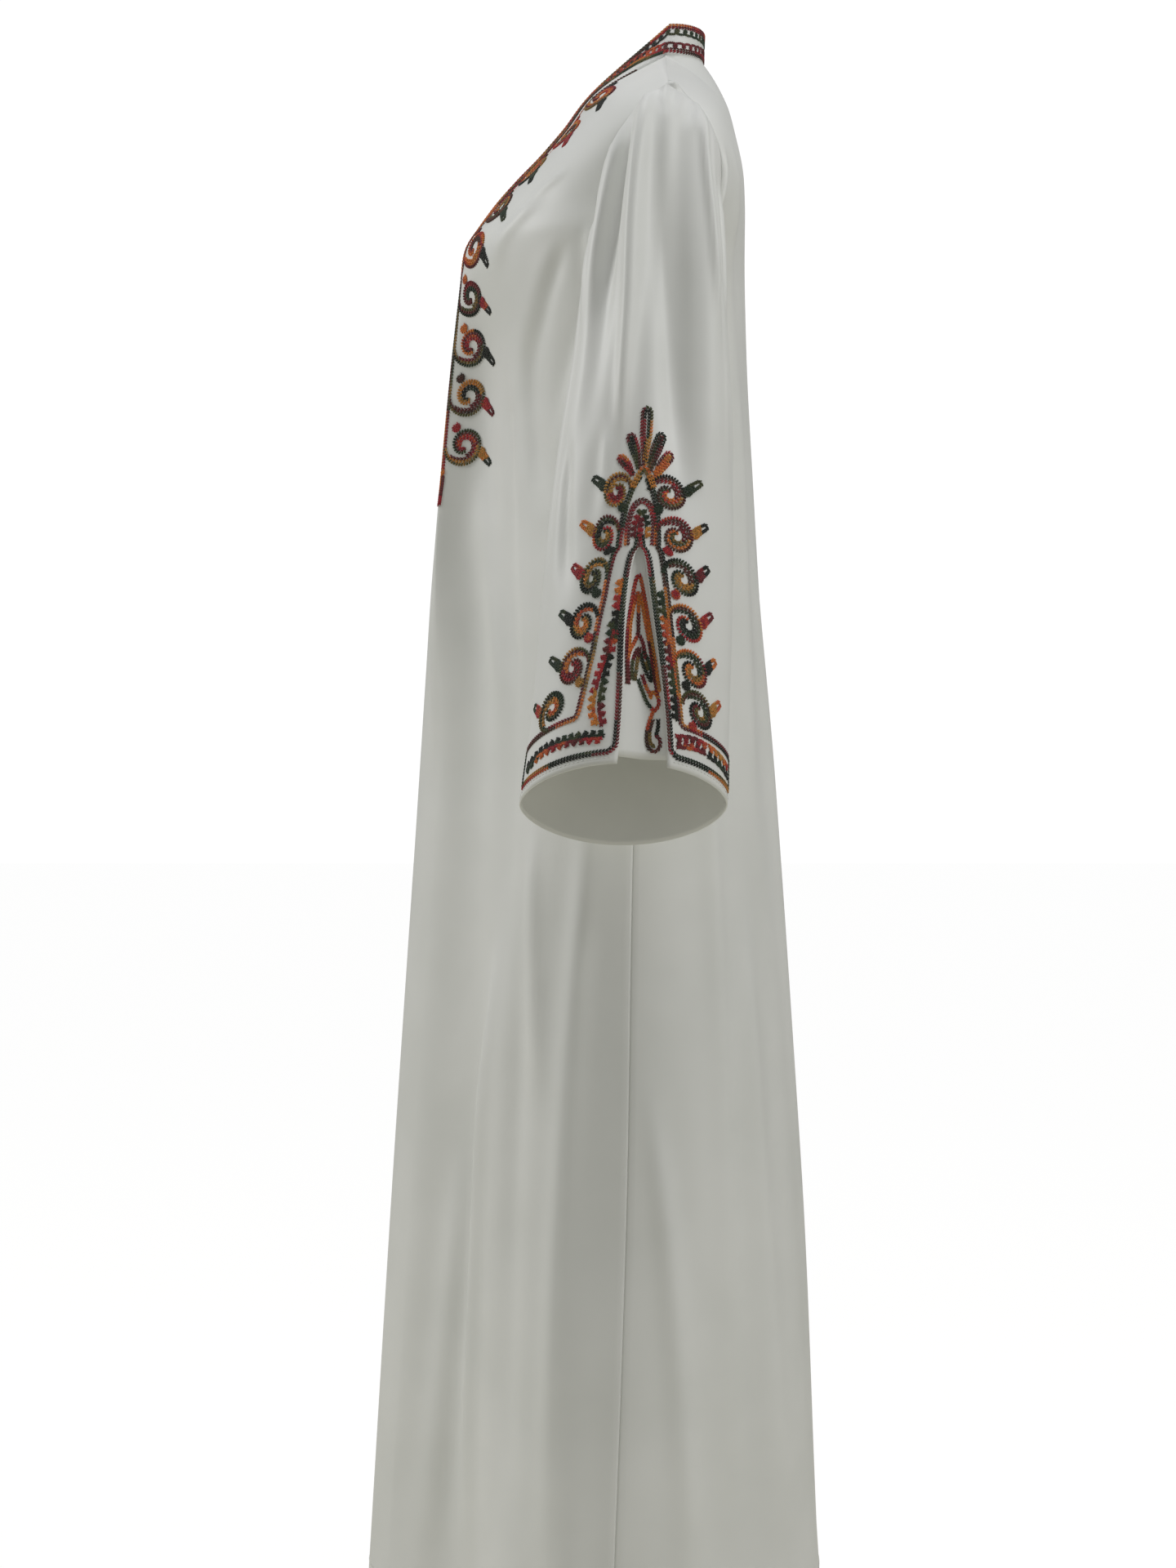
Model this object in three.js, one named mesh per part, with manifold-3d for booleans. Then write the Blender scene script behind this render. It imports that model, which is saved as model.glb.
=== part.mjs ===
// A long white abaya as it hangs on its wearer: front, back, neck band with a stand at the nape,
// two bell sleeves with a slit and a godet at the outer cuff, and the corded embroidery sewn on them.
//
// Millimetres, +Z up. The wearer faces -Y and their left hand is at +X. The origin is the middle of the
// shoulder line, where the wearer's shoulders carry the robe. Every cloth piece is an open wall that is
// worked out from its sections: the outer face, the same face moved in by the cloth, and a rim.

import * as THREE from "three";
import { mergeVertices } from "three/addons/utils/BufferGeometryUtils.js";
import Module from "manifold-3d";

const wasm = await Module();
wasm.setup();

// ---------------------------------------------------------------- driving sizes
const hem = -1524; // 60 inches below the shoulder line
const armpit = -222;
const placketEnd = -420; // where the neck band's two legs stop on the centre front
const clothThick = 1.5;
const seamGap = 0.5; // between two pieces that are sewn together
const armholeGap = 0.7; // the sleeve head stands this far outside the shoulder's end
const underarmGap = 2.1; // and this far outside the armhole at the underarm, where it laps the panels
const braidClear = 0.6; // under anything that lies on a panel
const braidThick = 1.8;
const scrollThick = 2.5;

const panelColumns = 14; // from the band's edge, or the centre back, to the side seam
const bandColumns = 2;
const napeSteps = 5; // of the band, from the shoulder to the centre back
const sleeveColumns = 32;

const white = { color: 0xe9ebe8, roughness: 0.72, metalness: 0 };
const gold = { color: 0xb8742a, roughness: 0.6, metalness: 0 };
const maroon = { color: 0x7c2b2a, roughness: 0.6, metalness: 0 };
const bottle = { color: 0x35402f, roughness: 0.6, metalness: 0 };

// ---------------------------------------------------------------- section tables
// Half sections of the robe below the armpit. front and back are the centre lines, flute is the half
// width of the flat front fold, then the valley beside it, the belly, and the side seam.
const bodySections = [
  { z: -1524, front: -286, flute: 84, valleyX: 172, valleyY: -180, bellyX: 268, bellyY: -150, half: 335, side: -46, back: 167 },
  { z: -1126, front: -262, flute: 68, valleyX: 134, valleyY: -174, bellyX: 218, bellyY: -144, half: 283, side: -31, back: 143 },
  { z: -781, front: -239, flute: 55, valleyX: 98, valleyY: -169, bellyX: 176, bellyY: -134, half: 236, side: -24, back: 121 },
  { z: -600, front: -227, flute: 49, valleyX: 80, valleyY: -166, bellyX: 154, bellyY: -128, half: 211, side: -16, back: 110 },
  { z: -430, front: -214, flute: 44, valleyX: 66, valleyY: -164, bellyX: 140, bellyY: -123, half: 199, side: -8, back: 100 },
  { z: -320, front: -204, flute: 42, valleyX: 62, valleyY: -165, bellyX: 136, bellyY: -123, half: 200, side: -3, back: 94 },
  { z: -222, front: -193, flute: 44, valleyX: 76, valleyY: -177, bellyX: 143, bellyY: -128, half: 203, side: 2, back: 91 },
];
// The front above the armpit: neck is the open edge, seam is the band's seam, arm is the armhole.
const frontRise = [
  { at: 0, neckX: 0, neckY: -193, neckZ: -222, seamX: 44, seamY: -191, seamZ: -222, armX: 203, armY: 2, armZ: -222, round: 1 },
  { at: 1, neckX: 0, neckY: -187, neckZ: -189, seamX: 45, seamY: -184, seamZ: -192, armX: 196, armY: -30, armZ: -205, round: 0.95 },
  { at: 2, neckX: 12, neckY: -162, neckZ: -153, seamX: 48, seamY: -158, seamZ: -161, armX: 188, armY: -43, armZ: -180, round: 0.9 },
  { at: 3, neckX: 22, neckY: -137, neckZ: -126, seamX: 54, seamY: -131, seamZ: -134, armX: 184, armY: -46, armZ: -154, round: 0.85 },
  { at: 4, neckX: 30, neckY: -114, neckZ: -104, seamX: 60, seamY: -107, seamZ: -110, armX: 182, armY: -42, armZ: -129, round: 0.75 },
  { at: 5, neckX: 38, neckY: -90, neckZ: -78, seamX: 66, seamY: -84, seamZ: -84, armX: 183, armY: -30, armZ: -106, round: 0.6 },
  { at: 6, neckX: 48, neckY: -58, neckZ: -40, seamX: 72, seamY: -54, seamZ: -48, armX: 186, armY: -10, armZ: -85, round: 0.35 },
  { at: 7, neckX: 61, neckY: 15, neckZ: 22, seamX: 75, seamY: 10, seamZ: -13, armX: 190, armY: 11, armZ: -70, round: 0 },
];
// The back above the armpit, from the centre back to the armhole.
const backRise = [
  { at: 0, centreY: 91, centreZ: -222, armX: 203, armY: 2, armZ: -222, round: 1 },
  { at: 1, centreY: 91, centreZ: -188, armX: 197, armY: 34, armZ: -202, round: 0.98 },
  { at: 2, centreY: 91, centreZ: -152, armX: 190, armY: 52, armZ: -176, round: 0.95 },
  { at: 3, centreY: 89, centreZ: -115, armX: 186, armY: 58, armZ: -150, round: 0.9 },
  { at: 4, centreY: 82, centreZ: -80, armX: 184, armY: 56, armZ: -125, round: 0.85 },
  { at: 5, centreY: 75, centreZ: -50, armX: 185, armY: 45, armZ: -102, round: 0.75 },
  { at: 6, centreY: 65, centreZ: -25, armX: 187, armY: 28, armZ: -83, round: 0.6 },
  { at: 7, centreY: 50, centreZ: -6, armX: 190, armY: 11, armZ: -70, round: 0 },
];
const riseTop = 7; // the last row of both rise tables, the shoulder line
const riseRows = 8; // rows of the panels' grids between the armpit and the shoulder line
const shoulderShare = 5 / 14; // the back's top edge is neckline up to here, then shoulder seam
const nape = { seamY: 50, seamZ: -6, neckY: 51, neckZ: 25 };
const crownFrom = -470; // below here the front fold is a soft round one, above it is the flat placket

// Soft folds of the robe, besides the front flute: panel side, place from the centre (0) to the side
// seam (1), the height where each starts, its depth at the hem, its half width and its lean.
const bodyFolds = [
  { panel: "front", side: 1, place: 0.74, from: -700, depth: 7, width: 0.16, lean: 0.06 },
  { panel: "front", side: -1, place: 0.66, from: -560, depth: 10, width: 0.17, lean: 0.08 },
  { panel: "front", side: -1, place: 0.3, from: -900, depth: -8, width: 0.15, lean: 0 },
  { panel: "back", side: 1, place: 0.3, from: -480, depth: 13, width: 0.2, lean: 0.02 },
  { panel: "back", side: 1, place: 0.58, from: -860, depth: -10, width: 0.16, lean: 0.04 },
  { panel: "back", side: -1, place: 0.22, from: -620, depth: -9, width: 0.16, lean: 0.02 },
  { panel: "back", side: -1, place: 0.5, from: -420, depth: 14, width: 0.2, lean: 0.05 },
  { panel: "back", side: -1, place: 0.76, from: -980, depth: -8, width: 0.14, lean: 0 },
];
// The cloth that drops from the shoulder blades, as ridges and troughs that fade out at both ends.
const backDrops = [
  { side: 1, place: 0.9, high: -40, low: -640, depth: 7, width: 0.13 },
  { side: 1, place: 0.66, high: -70, low: -700, depth: -5, width: 0.13 },
  { side: -1, place: 0.88, high: -40, low: -560, depth: 6, width: 0.13 },
  { side: -1, place: 0.6, high: -80, low: -760, depth: -5, width: 0.14 },
];

// Left sleeve rings, from the armhole to the cuff: the outer and inner line seen from the front, and
// the front and back line seen from the side.
const sleeveRings = [
  { at: 0, outX: 190, outZ: -70, inX: 203, inZ: -222, front: -46, back: 59 },
  { at: 1, outX: 212, outZ: -72, inX: 208, inZ: -229, front: -45, back: 60 },
  { at: 2, outX: 238, outZ: -93, inX: 212, inZ: -240, front: -48, back: 58 },
  { at: 3, outX: 260, outZ: -139, inX: 215, inZ: -261, front: -56, back: 57 },
  { at: 4, outX: 282, outZ: -209, inX: 219, inZ: -306, front: -67, back: 60 },
  { at: 5, outX: 303, outZ: -289, inX: 224, inZ: -371, front: -75, back: 62 },
  { at: 6, outX: 324, outZ: -376, inX: 231, inZ: -448, front: -88, back: 65 },
  { at: 7, outX: 345, outZ: -463, inX: 240, inZ: -535, front: -99, back: 66 },
  { at: 8, outX: 366, outZ: -550, inX: 250, inZ: -622, front: -108, back: 64 },
  { at: 9, outX: 384, outZ: -631, inX: 260, inZ: -704, front: -116, back: 61 },
  { at: 10, outX: 400, outZ: -708, inX: 270, inZ: -782, front: -127, back: 59 },
];
const cuff = 10;
const headBlend = 2.5; // rings over which the armhole's own outline fades into the ring's
const cuffPoint = 1.18; // how far the cuff's section pulls towards two soft corners
const slit = { top: 7.6, lean: -10, halfAngle: 14, godetTop: 7.3, tuck: 6, recess: 9, hemRise: 0.1 };
// Long folds of the sleeve: degrees from its outer line (front is positive), and its rings and depth.
const sleeveFolds = [
  { angle: 22, lean: -12, from: 0.4, to: 6.4, depth: 5, width: 17 },
  { angle: 47, lean: -4, from: 0.6, to: 6.5, depth: -8, width: 18 },
  { angle: -16, lean: -10, from: 0.5, to: 6, depth: -6, width: 18 },
  { angle: -52, lean: 0, from: 1, to: 7, depth: 5, width: 18 },
  { angle: 128, lean: 0, from: 3, to: 10, depth: -5, width: 20 },
  { angle: -128, lean: 0, from: 2.5, to: 10, depth: -6, width: 20 },
];
const gather = { reach: 50, count: 4.5, depth: 3.2, rings: 1.6 }; // the small tucks of the sleeve head

// ---------------------------------------------------------------- small helpers
const vec = (x, y, z) => new THREE.Vector3(x, y, z);
const mix = (a, b, t) => a + (b - a) * t;
const mixVec = (a, b, t) => a.clone().lerp(b, t);
const smooth = (t) => {
  const c = Math.min(1, Math.max(0, t));
  return c * c * (3 - 2 * c);
};
const bump = (t) => (Math.abs(t) < 1 ? 0.5 + 0.5 * Math.cos(Math.PI * t) : 0);
const radians = THREE.MathUtils.degToRad;

// A column of a table as a smooth function of its key column.
function read(table, key, column, value) {
  let i = 0;
  while (i < table.length - 2 && value > table[i + 1][key]) i++;
  const slope = (k) => {
    const a = table[Math.max(0, k - 1)];
    const b = table[Math.min(table.length - 1, k + 1)];
    return (b[column] - a[column]) / (b[key] - a[key]);
  };
  const width = table[i + 1][key] - table[i][key];
  const t = Math.min(1, Math.max(0, (value - table[i][key]) / width));
  const [p, q] = [table[i][column], table[i + 1][column]];
  const [m, n] = [slope(i) * width, slope(i + 1) * width];
  return (
    (2 * t ** 3 - 3 * t ** 2 + 1) * p +
    (t ** 3 - 2 * t ** 2 + t) * m +
    (3 * t ** 2 - 2 * t ** 3) * q +
    (t ** 3 - t ** 2) * n
  );
}

// A rounded corner from a to b: a conic whose corner is pulled from the chord by round.
function conic(a, b, round, t) {
  const weight = 0.7;
  const corner = vec(b.x, a.y, (a.z + b.z) / 2);
  const pull = mixVec(mixVec(a, b, 0.5), corner, round);
  const [wa, wp, wb] = [(1 - t) ** 2, 2 * weight * t * (1 - t), t ** 2];
  return a
    .clone()
    .multiplyScalar(wa)
    .addScaledVector(pull, wp)
    .addScaledVector(b, wb)
    .divideScalar(wa + wp + wb);
}

// ---------------------------------------------------------------- the robe's outer face
// Every function gives the wearer's left half, or the right half for side = -1, which differs in folds.
const onSide = (p, side) => vec(p.x * side, p.y, p.z);

// The front half section at a height below the armpit: from the centre front (0) to the flute's edge
// (1), and from there on to the side seam (2). Under the placket the flute is a soft round fold.
function frontSection(z, u) {
  const at = (column) => read(bodySections, "z", column, z);
  const soft = smooth((crownFrom - z) / 260);
  const edge = vec(at("flute"), at("front") + 2 + 20 * soft, z);
  const path = new THREE.CatmullRomCurve3(
    [
      onSide(edge, -1),
      vec(0, at("front"), z),
      edge,
      vec(at("valleyX"), at("valleyY"), z),
      vec(at("bellyX"), at("bellyY"), z),
      vec(mix(at("bellyX"), at("half"), 0.82), mix(at("bellyY"), at("side"), 0.52), z),
      vec(at("half"), at("side"), z),
    ],
    false,
    "centripetal",
  );
  const t = u < 1 ? (1 + u) / 6 : (2 + 4 * (u - 1)) / 6;
  const round = path.getPoint(t);
  if (soft === 1) return round;
  const sharp = new THREE.CatmullRomCurve3(path.points.slice(2), false, "centripetal");
  const crisp = u < 1 ? vec(edge.x * u, at("front") + 2 * u * u, z) : sharp.getPoint(u - 1);
  return mixVec(crisp, round, soft);
}

function foldDepth(panel, side, z, u) {
  let depth = 0;
  for (const f of bodyFolds) {
    if (f.panel !== panel || f.side !== side || z > f.from) continue;
    const share = smooth((f.from - z) / (f.from - hem));
    depth += f.depth * share * bump((u - f.place - f.lean * share) / f.width);
  }
  return depth;
}

function dropDepth(side, z, u) {
  let depth = 0;
  for (const d of backDrops) {
    if (d.side !== side) continue;
    const share = bump((z - (d.high + d.low) / 2) / ((d.high - d.low) / 2));
    depth += d.depth * share * bump((u - d.place) / d.width);
  }
  return depth;
}

// Moves a point outwards, away from the robe's upright middle line.
function outwards(p, middleY, depth) {
  const away = vec(p.x, p.y - middleY, 0).normalize();
  return p.addScaledVector(away, depth);
}

function frontPoint(level, u, side) {
  if (level.rise === 0) {
    const p = frontSection(level.z, 1 + u);
    const quiet = u * (1 - u) * 4; // the edges stay where their seams are
    return onSide(outwards(p, -60, foldDepth("front", side, level.z, u) * Math.min(1, quiet)), side);
  }
  const at = (column) => read(frontRise, "at", column, level.rise);
  const seam = vec(at("seamX"), at("seamY"), at("seamZ"));
  const arm = vec(at("armX"), at("armY"), at("armZ"));
  const p = conic(seam, arm, at("round"), u);
  const first = frontRise[0];
  const start = conic(
    vec(first.seamX, first.seamY, first.seamZ),
    vec(first.armX, first.armY, first.armZ),
    first.round,
    u,
  );
  const kept = 1 - smooth(level.rise / 3.5);
  return onSide(p.addScaledVector(frontSection(armpit, 1 + u).sub(start), kept), side);
}

// The band's own cloth between the centre front, or the neck edge, (0) and its seam (1).
function bandPoint(level, t, side) {
  if (level.rise === 0) return onSide(frontSection(level.z, t), side);
  const at = (column) => read(frontRise, "at", column, level.rise);
  const neck = vec(Math.max(0, at("neckX")), at("neckY"), at("neckZ"));
  const seam = vec(at("seamX"), at("seamY"), at("seamZ"));
  return onSide(mixVec(neck, seam, t), side);
}

// The band from the shoulder (0) round to the centre back (1).
function napePoint(share, t, side) {
  const top = frontRise[riseTop];
  const seam = conic(vec(0, nape.seamY, nape.seamZ), vec(top.seamX, top.seamY, top.seamZ), 1, 1 - share);
  const neck = conic(vec(0, nape.neckY, nape.neckZ), vec(top.neckX, top.neckY, top.neckZ), 1, 1 - share);
  return onSide(mixVec(neck, seam, t), side);
}

function backPoint(level, u, side) {
  if (level.rise === 0) {
    const z = level.z;
    const at = (column) => read(bodySections, "z", column, z);
    const p = conic(vec(0, at("back"), z), vec(at("half"), at("side"), z), 0.94, u);
    const quiet = Math.min(1, (1 - u) * 6);
    const depth = foldDepth("back", side, z, u) + dropDepth(side, z, u);
    return onSide(outwards(p, -60, depth * quiet), side);
  }
  const at = (column) => read(backRise, "at", column, level.rise);
  const centre = vec(0, at("centreY"), at("centreZ"));
  const arm = vec(at("armX"), at("armY"), at("armZ"));
  const p = conic(centre, arm, mix(at("round"), 0.94, 1 - smooth(level.rise)), u);
  const quiet = Math.min(1, (1 - u) * 6) * (1 - smooth((level.rise - 4) / 2));
  outwards(p, -60, dropDepth(side, p.z, u) * quiet);
  const top = frontRise[riseTop];
  const tip = vec(top.seamX, top.seamY, top.seamZ);
  const ridge =
    u < shoulderShare
      ? napePoint(1 - u / shoulderShare, 1, 1)
      : mixVec(tip, vec(top.armX, top.armY, top.armZ), (u - shoulderShare) / (1 - shoulderShare));
  return onSide(mixVec(p, ridge, smooth((level.rise - 5) / 2)), side);
}

// Heights of the rows, from the hem up: z below the armpit, then the rise rows up to the shoulder.
const skirtHeights = [hem, -1320, -1120, -940, -780, -640, -530, placketEnd, -360, -310, -265, armpit];
const levels = [
  ...skirtHeights.map((z) => ({ z, rise: 0 })),
  ...Array.from({ length: riseRows }, (_, i) => ({ z: armpit, rise: ((i + 1) * riseTop) / riseRows })),
];
const placketRow = skirtHeights.indexOf(placketEnd);

// ---------------------------------------------------------------- the sleeve's outer face
// Where the sleeve head meets the armhole's edge, which runs straight from row to row of the panels.
function armholePoint(angle) {
  const turn = ((angle % 360) + 360) % 360;
  const table = turn <= 180 ? frontRise : backRise;
  const row = riseRows * (turn <= 180 ? 1 - turn / 180 : turn / 180 - 1);
  const edge = (k) => {
    const at = (column) => read(table, "at", column, (k * riseTop) / riseRows);
    const gap = mix(underarmGap, armholeGap, smooth((1.4 * k) / riseRows - 0.2));
    return vec(at("armX") + gap, at("armY"), at("armZ"));
  };
  return mixVec(edge(Math.floor(row)), edge(Math.ceil(row)), row % 1);
}

function sleevePoint(ring, angle) {
  const at = (column) => read(sleeveRings, "at", column, ring);
  const [out, inner] = [vec(at("outX"), 0, at("outZ")), vec(at("inX"), 0, at("inZ"))];
  const across = out.clone().sub(inner).multiplyScalar(0.5);
  const centre = mixVec(out, inner, 0.5).setY((at("front") + at("back")) / 2);
  const [c, s] = [Math.cos(radians(angle)), Math.sin(radians(angle))];
  const point = mix(1, cuffPoint, smooth((ring - 3) / 5));
  const round = Math.sign(c) * Math.abs(c) ** point;
  const deep = (at("back") - at("front")) / 2;
  const turned = ((angle + 540) % 360) - 180;
  let depth = 0;
  for (const f of sleeveFolds) {
    const share = (ring - f.from) / (f.to - f.from);
    if (share <= 0 || share >= 1) continue;
    depth += f.depth * Math.sqrt(bump(2 * share - 1)) * bump((turned - f.angle - f.lean * share) / f.width);
  }
  const tuck = bump(turned / gather.reach) * (1 - smooth(ring / gather.rings)) * Math.min(1, ring * 2);
  depth += gather.depth * tuck * Math.cos((turned / gather.reach) * Math.PI * gather.count);
  const away = across.clone().normalize().multiplyScalar(c).setY(-s).normalize();
  const p = centre.addScaledVector(across, round).add(vec(0, -deep * s, 0)).addScaledVector(away, depth);
  return mixVec(armholePoint(angle), p, smooth(ring / headBlend));
}

const slitShare = (ring) => Math.max(0, (ring - slit.top) / (cuff - slit.top));
const slitHalf = (ring) => slit.halfAngle * Math.sqrt(slitShare(ring));
const slitMiddle = (ring) => slit.lean * smooth(slitShare(ring));
const sleeveAngle = (ring, column) => {
  const half = slitHalf(ring);
  return slitMiddle(ring) + half + ((360 - 2 * half) * column) / sleeveColumns;
};
const ringSteps = [0, 0.5, 1, 1.6, 2.3, 3, 4, 5, 6, 7, slit.top, 8, 9, cuff];

// ---------------------------------------------------------------- building walls
// A grid of outer points by rows and columns, with the smooth normals of its faces.
class Cloth {
  constructor(rows, flip) {
    this.rows = rows;
    this.flip = flip;
    this.index = new Map();
    this.points = [];
    this.faces = [];
    this.normals = [];
  }

  // The index of a point; two points in one place are one point.
  put(p) {
    const key = [p.x, p.y, p.z].map((c) => c.toFixed(3)).join();
    if (!this.index.has(key)) {
      this.index.set(key, this.points.length);
      this.points.push(p.clone());
      this.normals.push(vec(0, 0, 0));
    }
    return this.index.get(key);
  }

  find(p) {
    return this.index.get([p.x, p.y, p.z].map((c) => c.toFixed(3)).join());
  }

  face(a, b, c) {
    const [i, j, k] = this.flip ? [this.put(a), this.put(c), this.put(b)] : [this.put(a), this.put(b), this.put(c)];
    if (i === j || j === k || k === i) return;
    this.faces.push([i, j, k]);
    const [p, q, r] = [this.points[i], this.points[j], this.points[k]];
    const n = q.clone().sub(p).cross(r.clone().sub(p));
    for (const at of [i, j, k]) this.normals[at].add(n);
  }

  // Faces over a block of the grid, each quad split from its first corner to the opposite one.
  cover(fromRow, toRow, fromColumn, toColumn) {
    for (let r = fromRow; r < toRow; r++)
      for (let c = fromColumn; c < toColumn; c++) {
        const [a, b] = [this.rows[r][c], this.rows[r][c + 1]];
        const [d, e] = [this.rows[r + 1][c], this.rows[r + 1][c + 1]];
        this.face(a, b, e);
        this.face(a, e, d);
      }
    return this;
  }

  normalAt(p) {
    return this.normals[this.put(p)].clone().normalize();
  }
}

function meshOf(name, positions, triangles, finish) {
  const geometry = new THREE.BufferGeometry();
  geometry.setAttribute("position", new THREE.BufferAttribute(new Float32Array(positions), 3));
  geometry.setIndex(triangles);
  geometry.computeVertexNormals();
  const mesh = new THREE.Mesh(geometry, new THREE.MeshStandardMaterial({ ...finish, side: THREE.DoubleSide }));
  mesh.name = name;
  return mesh;
}

// The closed wall of one cloth: its faces, the same moved in by the thickness, and a rim on each edge
// that only one face has. shared gives the normal that a point has in common with the next cloth.
function clothWall(name, cloth, shared = new Map()) {
  const inner = cloth.points.map((p, i) =>
    p.clone().addScaledVector(shared.get(i) ?? cloth.normals[i].clone().normalize(), -clothThick),
  );
  const count = cloth.points.length;
  const triangles = [];
  const edges = new Set(cloth.faces.flatMap(([a, b, c]) => [`${a},${b}`, `${b},${c}`, `${c},${a}`]));
  for (const [a, b, c] of cloth.faces) {
    triangles.push(a, b, c, count + a, count + c, count + b);
    for (const [p, q] of [[a, b], [b, c], [c, a]])
      if (!edges.has(`${q},${p}`)) triangles.push(q, p, count + p, q, count + p, count + q);
  }
  const positions = [...cloth.points, ...inner].flatMap((p) => [p.x, p.y, p.z]);
  return meshOf(name, positions, triangles, white);
}

// ---------------------------------------------------------------- front, back and band
const shares = (n) => Array.from({ length: n + 1 }, (_, i) => i / n);
const copyOf = (rows) => rows.map((row) => row.map((p) => p.clone()));

// A point on a seam, drawn back from it towards the point before it.
const drawBack = (edge, inside, by) => edge.clone().add(inside.clone().sub(edge).setLength(by));

const bandLine = (level, side) => shares(bandColumns).map((t) => bandPoint(level, t, side));
const frontLine = (level, side) => shares(panelColumns).map((u) => frontPoint(level, u, side));
const backLine = (level, side) => shares(panelColumns).map((u) => backPoint(level, u, side));
const napeLine = (share, side) => shares(bandColumns).map((t) => napePoint(share, t, side));

const frontRows = (side) => levels.map((level) => [...bandLine(level, side).slice(0, -1), ...frontLine(level, side)]);
const backRows = (side) => levels.map((level) => backLine(level, side));
// The band's rows, from the placket's end up the front, over the shoulder and round to the nape.
const bandRows = (side) => [
  ...levels.slice(placketRow).map((level) => bandLine(level, side)),
  ...shares(napeSteps)
    .slice(1)
    .map((share) => napeLine(share, side)),
];

// The whole robe as one face, for the normals that two pieces share along their seam.
function robeSkin() {
  const skin = new Cloth([], false);
  for (const side of [-1, 1]) {
    for (const [rows, flip] of [
      [frontRows(side), side < 0],
      [backRows(side), side > 0],
      [bandRows(side).slice(levels.length - placketRow - 1), side < 0],
    ]) {
      skin.rows = rows;
      skin.flip = flip;
      skin.cover(0, rows.length - 1, 0, rows[0].length - 1);
    }
  }
  return skin;
}
const skin = robeSkin();

const seamLine = frontRise[riseTop];
const shoulderNormal = vec(seamLine.seamZ - seamLine.armZ, 0, seamLine.armX - seamLine.seamX).normalize();

// Notes, for each point of a cloth, the normal that it has on the whole robe.
function shareNormals(shared, cloth, drawn, laid, side, shoulderFrom) {
  drawn.forEach((row, r) =>
    row.forEach((p, c) => {
      const at = cloth.find(p);
      const shoulder = r === drawn.length - 1 && c >= shoulderFrom;
      if (at !== undefined) shared.set(at, shoulder ? onSide(shoulderNormal, side) : skin.normalAt(laid[r][c]));
    }),
  );
}

function frontPanel() {
  const cloth = new Cloth([], false);
  const shared = new Map();
  const [seam, end] = [bandColumns, bandColumns + panelColumns];
  for (const side of [-1, 1]) {
    const laid = frontRows(side);
    const rows = copyOf(laid);
    rows.forEach((row, r) => {
      if (r > placketRow) row[seam] = drawBack(row[seam], row[seam + 1], seamGap / 2);
      if (levels[r].rise === 0) row[end] = drawBack(row[end], row[end - 1], seamGap / 2);
    });
    const top = rows.length - 1;
    rows[top] = rows[top].map((p, c) => drawBack(p, rows[top - 1][c], seamGap / 2));
    for (let c = 0; c <= seam; c++)
      rows[placketRow][c] = drawBack(rows[placketRow][c], rows[placketRow - 1][c], seamGap / 2);
    cloth.rows = rows;
    cloth.flip = side < 0;
    cloth.cover(0, placketRow, 0, end);
    cloth.cover(placketRow, top, seam, end);
    shareNormals(shared, cloth, rows, laid, side, seam);
  }
  return clothWall("front", cloth, shared);
}

function backPanel() {
  const cloth = new Cloth([], false);
  const shared = new Map();
  for (const side of [-1, 1]) {
    const laid = backRows(side);
    const rows = copyOf(laid);
    rows.forEach((row, r) => {
      if (levels[r].rise === 0) row[panelColumns] = drawBack(row[panelColumns], row[panelColumns - 1], seamGap / 2);
    });
    const top = rows.length - 1;
    rows[top] = rows[top].map((p, c) => drawBack(p, rows[top - 1][c], seamGap / 2));
    cloth.rows = rows;
    cloth.flip = side > 0;
    cloth.cover(0, top, 0, panelColumns);
    shareNormals(shared, cloth, rows, laid, side, shoulderShare * panelColumns + 1);
  }
  return clothWall("back", cloth, shared);
}

function neckBand() {
  const cloth = new Cloth([], false);
  const shared = new Map();
  for (const side of [-1, 1]) {
    const laid = bandRows(side);
    const rows = copyOf(laid);
    rows.forEach((row, r) => {
      row[bandColumns] = drawBack(row[bandColumns], row[bandColumns - 1], seamGap / 2);
      if (Math.abs(laid[r][0].x) < seamGap / 2 && laid[r][0].y < 0) row[0].x = (side * seamGap) / 2;
    });
    rows[0] = rows[0].map((p, c) => drawBack(p, rows[1][c], seamGap / 2));
    cloth.rows = rows;
    cloth.flip = side < 0;
    cloth.cover(0, rows.length - 1, 0, bandColumns);
    shareNormals(shared, cloth, rows, laid, side, bandColumns + 1);
  }
  return clothWall("neck_band", cloth, shared);
}

// ---------------------------------------------------------------- sleeves and godets
function sleeveCloth(side) {
  const rows = ringSteps.map((ring) =>
    Array.from({ length: sleeveColumns + 1 }, (_, c) => onSide(sleevePoint(ring, sleeveAngle(ring, c)), side)),
  );
  return new Cloth(rows, side < 0).cover(0, ringSteps.length - 1, 0, sleeveColumns);
}

// The triangular piece behind the slit: tucked under both edges and sunk between them.
function godetCloth(side) {
  const columns = 6;
  const rows = shares(5).map((s) => {
    const ring = mix(slit.godetTop, cuff - slit.hemRise, s);
    const reach = slitHalf(ring) + slit.tuck;
    return shares(columns).map((t) => {
      const p = sleevePoint(ring, slitMiddle(ring) + reach * (2 * t - 1));
      const sunk = clothThick + seamGap + 0.4 + slit.recess * smooth(s * 2) * bump(2 * t - 1);
      return onSide(vec(p.x - sunk, p.y, p.z - sunk * 0.3), side);
    });
  });
  return new Cloth(rows, side < 0).cover(0, 5, 0, columns);
}

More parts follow.
